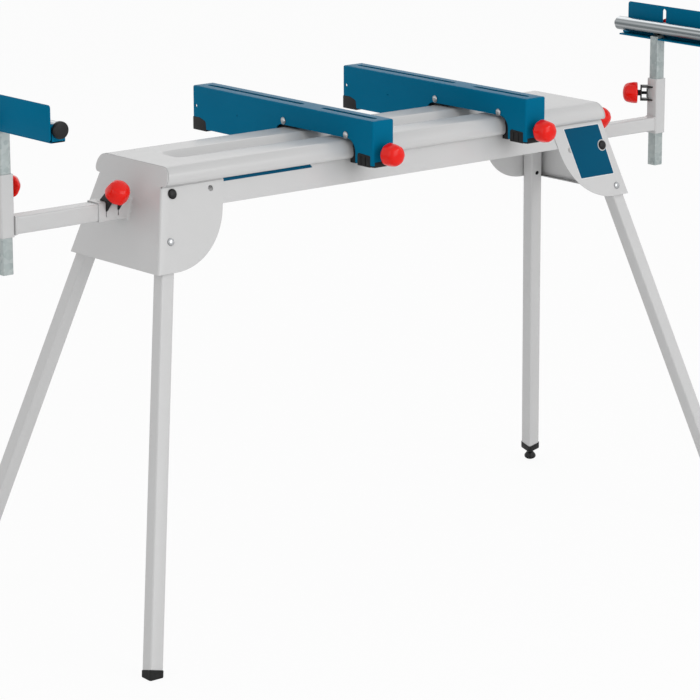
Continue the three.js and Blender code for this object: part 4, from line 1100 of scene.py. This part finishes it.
BOLT_PROFILE = [[radius, -level] for radius, level in HALF_BOLT[::-1]] + HALF_BOLT


def crossbar(name, middle):
    """A folded channel, open below.

    Its outside is a rounded rectangle carried upwards, drawn in at the top round a quarter circle.
    What lies inside the side view stays, and the hollow, the slots and the holes are taken out.
    """
    half_length, centre = (BAR_BACK - BAR_FRONT) / 2, (BAR_BACK + BAR_FRONT) / 2
    plan = rectangle(BAR_HALF, half_length, BAR_CORNER, 6) + [middle, centre]
    turn = quarter(7)
    insets = [0, *BAR_TOP_RADIUS * (1 - np.cos(turn))]
    levels = [BAR_FOOT - 1, *BAR_TOP - BAR_TOP_RADIUS * (1 - np.sin(turn))]
    bar = build(f"{name}_saw_bar", [skin([hoop(plan, *pair) for pair in zip(insets, levels)])])
    side_view = rounded([
        [BAR_FRONT - 1, BAR_FOOT, 0], [BAR_NOTCH_FRONT, BAR_FOOT, 2],
        [BAR_NOTCH_FRONT, BAR_WALL, BAR_NOTCH_RADIUS], [BAR_NOTCH_BACK, BAR_WALL, BAR_NOTCH_BACK_RADIUS],
        [BAR_NOTCH_BACK, BAR_FOOT, 5], [BAR_BACK + 1, BAR_FOOT, 0],
        [BAR_BACK + 1, BAR_TOP + 1, 0], [BAR_FRONT - 1, BAR_TOP + 1, 0],
    ], 12)
    outside = (middle - BAR_HALF - 1, middle + BAR_HALF + 1, CUTTER_EDGE)
    cut(bar, [slab(side_view, *outside)], "INTERSECT")
    left, right = middle - BAR_HALF + BAR_SHEET, middle + BAR_HALF - BAR_SHEET
    front, back = BAR_FRONT + BAR_SHEET, BAR_BACK + 5
    inside = rounded([[left, front, 1], [right, front, 1], [right, back, 0], [left, back, 0]])
    cut(bar, [slab(inside, BAR_FOOT - 5, BAR_TOP - BAR_SHEET, 0.4, axes=UPRIGHT)])
    slots = [stadium(middle, low, high, SLOT_HALF) for low, high in BAR_SLOTS]
    holes = [slab(slot, BAR_TOP - 9, BAR_TOP + 4, axes=UPRIGHT) for slot in slots]
    holes += [slab(rounded(opening), *outside) for opening in OPENINGS]
    lip = rectangle(BAR_HALF - 4, 4, 1) + [middle, BAR_FRONT]
    holes.append(slab(lip, BAR_FOOT - 3, BAR_FOOT + 6, axes=UPRIGHT))
    for spot, radius, reach in BAR_HOLES:
        holes.append(cylinder(radius, -THROUGH, reach, HOLE_SIDES, [middle, *spot], ALONG_X))
    mount = [middle, BAR_FRONT, MOUNT_KNOB_HEIGHT]
    holes.append(cylinder(PIN_HOLE, -5, 5, HOLE_SIDES, mount, (Z, X, Y)))
    dress(cut(bar, holes), f"{name}_crossbar", blue, f"{name}_crossbar")


def rear_pad(name, middle):
    """A block on the rear bead's flat top that reaches down round its shoulder, a circle's arc."""
    y, z = PAD_SHOULDER_MIDDLE
    arc = np.linspace(0, 1.37, 10)
    y, z = y + PAD_SHOULDER_RADIUS * np.sin(arc), z + PAD_SHOULDER_RADIUS * np.cos(arc)
    shoulder = np.column_stack([y, z, 0 * arc])
    view = rounded([[108, 803, 2], [58, 803, 2], [58, 781.4, 0], *shoulder, [108, 765, 2]])
    pad = slab(view, middle - PAD_HALF, middle + PAD_HALF, 0.5)
    hole = cylinder(PIN_HOLE, -24, 24, HOLE_SIDES, [middle, *PAD_PIN], ALONG_X)
    solid = f"{name}_rear_pad"
    piece(f"{solid}_block", [pad], f"{name}_crossbar", black, solid, holes=[hole])


def bar_feet(name, middle):
    """Plastic feet: blocks in the channel's ends, ears that fill the openings in its walls, grooves."""
    parts = [slab(rounded(view), middle - half, middle + half, 0.8) for view, half in FEET]
    grooves = []
    for y in GROOVES:
        left, right = y - GROOVE_HALF, y + GROOVE_HALF
        top = [[right, GROOVE_TOP, GROOVE_RADIUS], [left, GROOVE_TOP, GROOVE_RADIUS]]
        groove = rounded([[left, GROOVE_LOW, 0], [right, GROOVE_LOW, 0], *top])
        for end in (-1, 1):
            grooves.append(slab(groove, 22.4, 25, CUTTER_EDGE, [middle, 0, 0], (Y, Z, end * X)))
    piece(f"{name}_bar_feet", parts, f"{name}_crossbar", black, holes=grooves)


for side, name in SIDES:
    middle = BARS[name]
    rear_pad(name, middle)
    crossbar(name, middle)
    bar_feet(name, middle)
    for what, spot in (("jaw", JAW_PIN), ("pad", PAD_PIN)):
        bolt = lathe(BOLT_PROFILE, PIN_SIDES, [middle, *spot], ALONG_X)
        piece(f"{name}_{what}_bolt", [bolt], f"{name}_crossbar", steel, f"{name}_{what}_pin")

for name, obj in nodes.items():
    if name.endswith(("bush", "front_jaw")):
        obj.data.materials.clear()
        obj.data.materials.append(black[0])


# Plain labels: thin film on the front wall of the beam and on the right front cheek

front_origin, front_axes = corner_frame(True)


def up_slope(height, offset):
    """How far up the slope a plane at an offset reaches a height."""
    return (height - front_origin[2] - offset * math.sin(LEAN)) / math.cos(LEAN)


low = up_slope(743.4, WALL_OFFSET)
strip = rounded([[-369, low, 0.5], [-180, low, 0.5], [-185, low + 6.6, 0.5], [-369, low + 6.6, 0.5]], 3)
film = slab(strip, 0, 0.15, FINE_EDGE, front_origin + front_axes[2] * WALL_OFFSET, front_axes)
piece("beam_label", [film], "frame", blue_film)

low, high = up_slope(651, CHEEK_OFFSET), up_slope(743, CHEEK_OFFSET)
panel = rounded([[421, low, 3], [505, low, 3], [486, high, 3], [398, high, 3]], 5)
panel_place = front_origin + front_axes[2] * CHEEK_OFFSET
hole = cylinder(10.5, -5, 30, CAP_SIDES, CORNERS["right_front"]["origin"], front_axes)
for name, inset, thickness, finish in (("edge", 0, 0.12, pale_film), ("panel", 1.6, 0.2, blue_film)):
    film = slab(shrunk(panel, inset), 0, thickness, FINE_EDGE, panel_place, front_axes)
    piece(f"cheek_label_{name}", [film], "frame", finish, holes=[hole])


# Studio: a pale floor, a white surrounding, soft lamps and the photograph's view

CAMERA_PLACE = (-3.53794, -4.25481, 1.75788)
CAMERA_PAN, CAMERA_PITCH, CAMERA_ROLL = 0.6944, 0.2444, -0.00181
CAMERA_LENS, CAMERA_SENSOR, CAMERA_FAR = 165.73, 36, 60
WORLD_LIGHT = 0.62
FLOOR_HALF = 14
FLOOR_GLOW = 0.92

camera = bpy.data.objects.new("camera", bpy.data.cameras.new("camera"))
bpy.context.scene.collection.objects.link(camera)
view = Matrix.Translation(CAMERA_PLACE)
for angle, axis in ((-CAMERA_PAN, "Z"), (math.pi / 2 - CAMERA_PITCH, "X"), (CAMERA_ROLL, "Z")):
    view @= Matrix.Rotation(angle, 4, axis)
camera.matrix_world = view
camera.data.lens = CAMERA_LENS
camera.data.sensor_width = CAMERA_SENSOR
camera.data.clip_end = CAMERA_FAR
bpy.context.scene.camera = camera


def area_lamp(name, spot, aim, size, power):
    """A square lamp that faces a point."""
    lamp = bpy.data.lights.new(name, "AREA")
    lamp.shape = "SQUARE"
    lamp.size = size
    lamp.energy = power
    obj = bpy.data.objects.new(name, lamp)
    obj.location = spot
    obj.rotation_euler = (Vector(aim) - Vector(spot)).to_track_quat("-Z", "Y").to_euler()
    bpy.context.scene.collection.objects.link(obj)


area_lamp("front lamp", (0.5, -3.9, 2.0), (0, 0, 0.6), size=2.8, power=44)
area_lamp("left lamp", (-4.4, -0.4, 2.0), (0, 0, 0.6), size=3.2, power=16)
area_lamp("shoulder lamp", (1.9, -3.2, 2.6), (0, 0, 0.7), size=0.5, power=6)
area_lamp("back lamp", (1.6, 3.2, 3.0), (0, 0, 0.7), size=2.4, power=8)


def studio():
    """White for the camera, for gloss and for glass; a plain level light for the rest."""
    world = bpy.data.worlds.new("studio")
    bpy.context.scene.world = world
    world.use_nodes = True
    tree = world.node_tree
    path = node(tree, "LightPath", {})
    seen = path["Is Camera Ray"]
    for ray in ("Is Glossy Ray", "Is Transmission Ray"):
        seen = node(tree, "Math", {0: seen, 1: path[ray]}, operation="MAXIMUM")[0]
    strength = node(tree, "MapRange", {"To Min": WORLD_LIGHT, "To Max": 1, "Value": seen})["Result"]
    feed(tree, tree.nodes["Background"], {"Color": (1, 1, 1, 1), "Strength": strength})


def stage_floor():
    """A pale floor that mostly glows white for the camera, and shades like paper for the rest."""
    mesh = bpy.data.meshes.new("floor")
    corners = [(x * FLOOR_HALF, y * FLOOR_HALF, 0) for x, y in ((-1, -1), (1, -1), (1, 1), (-1, 1))]
    mesh.from_pydata(corners, [], [(0, 1, 2, 3)])
    floor = bpy.data.objects.new("floor", mesh)
    bpy.context.scene.collection.objects.link(floor)
    finish = Finish("floor", (250, 250, 250), 0.9)
    finish.tint(finish.spread(finish.noise(0.6)), (248, 248, 248))
    seen = finish.node("LightPath", {})["Is Camera Ray"]
    share, white = finish.spread(seen, 0, FLOOR_GLOW, start=0, stop=1), finish.node("Emission", {})[0]
    surface = finish.node("MixShader", {0: share, 1: finish.shader.outputs[0], 2: white})[0]
    feed(finish.tree, finish.tree.nodes["Material Output"], {"Surface": surface})
    mesh.materials.append(finish.material)
    floor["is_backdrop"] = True


studio()
stage_floor()
bpy.context.scene.view_settings.view_transform = "Standard"

low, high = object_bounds()
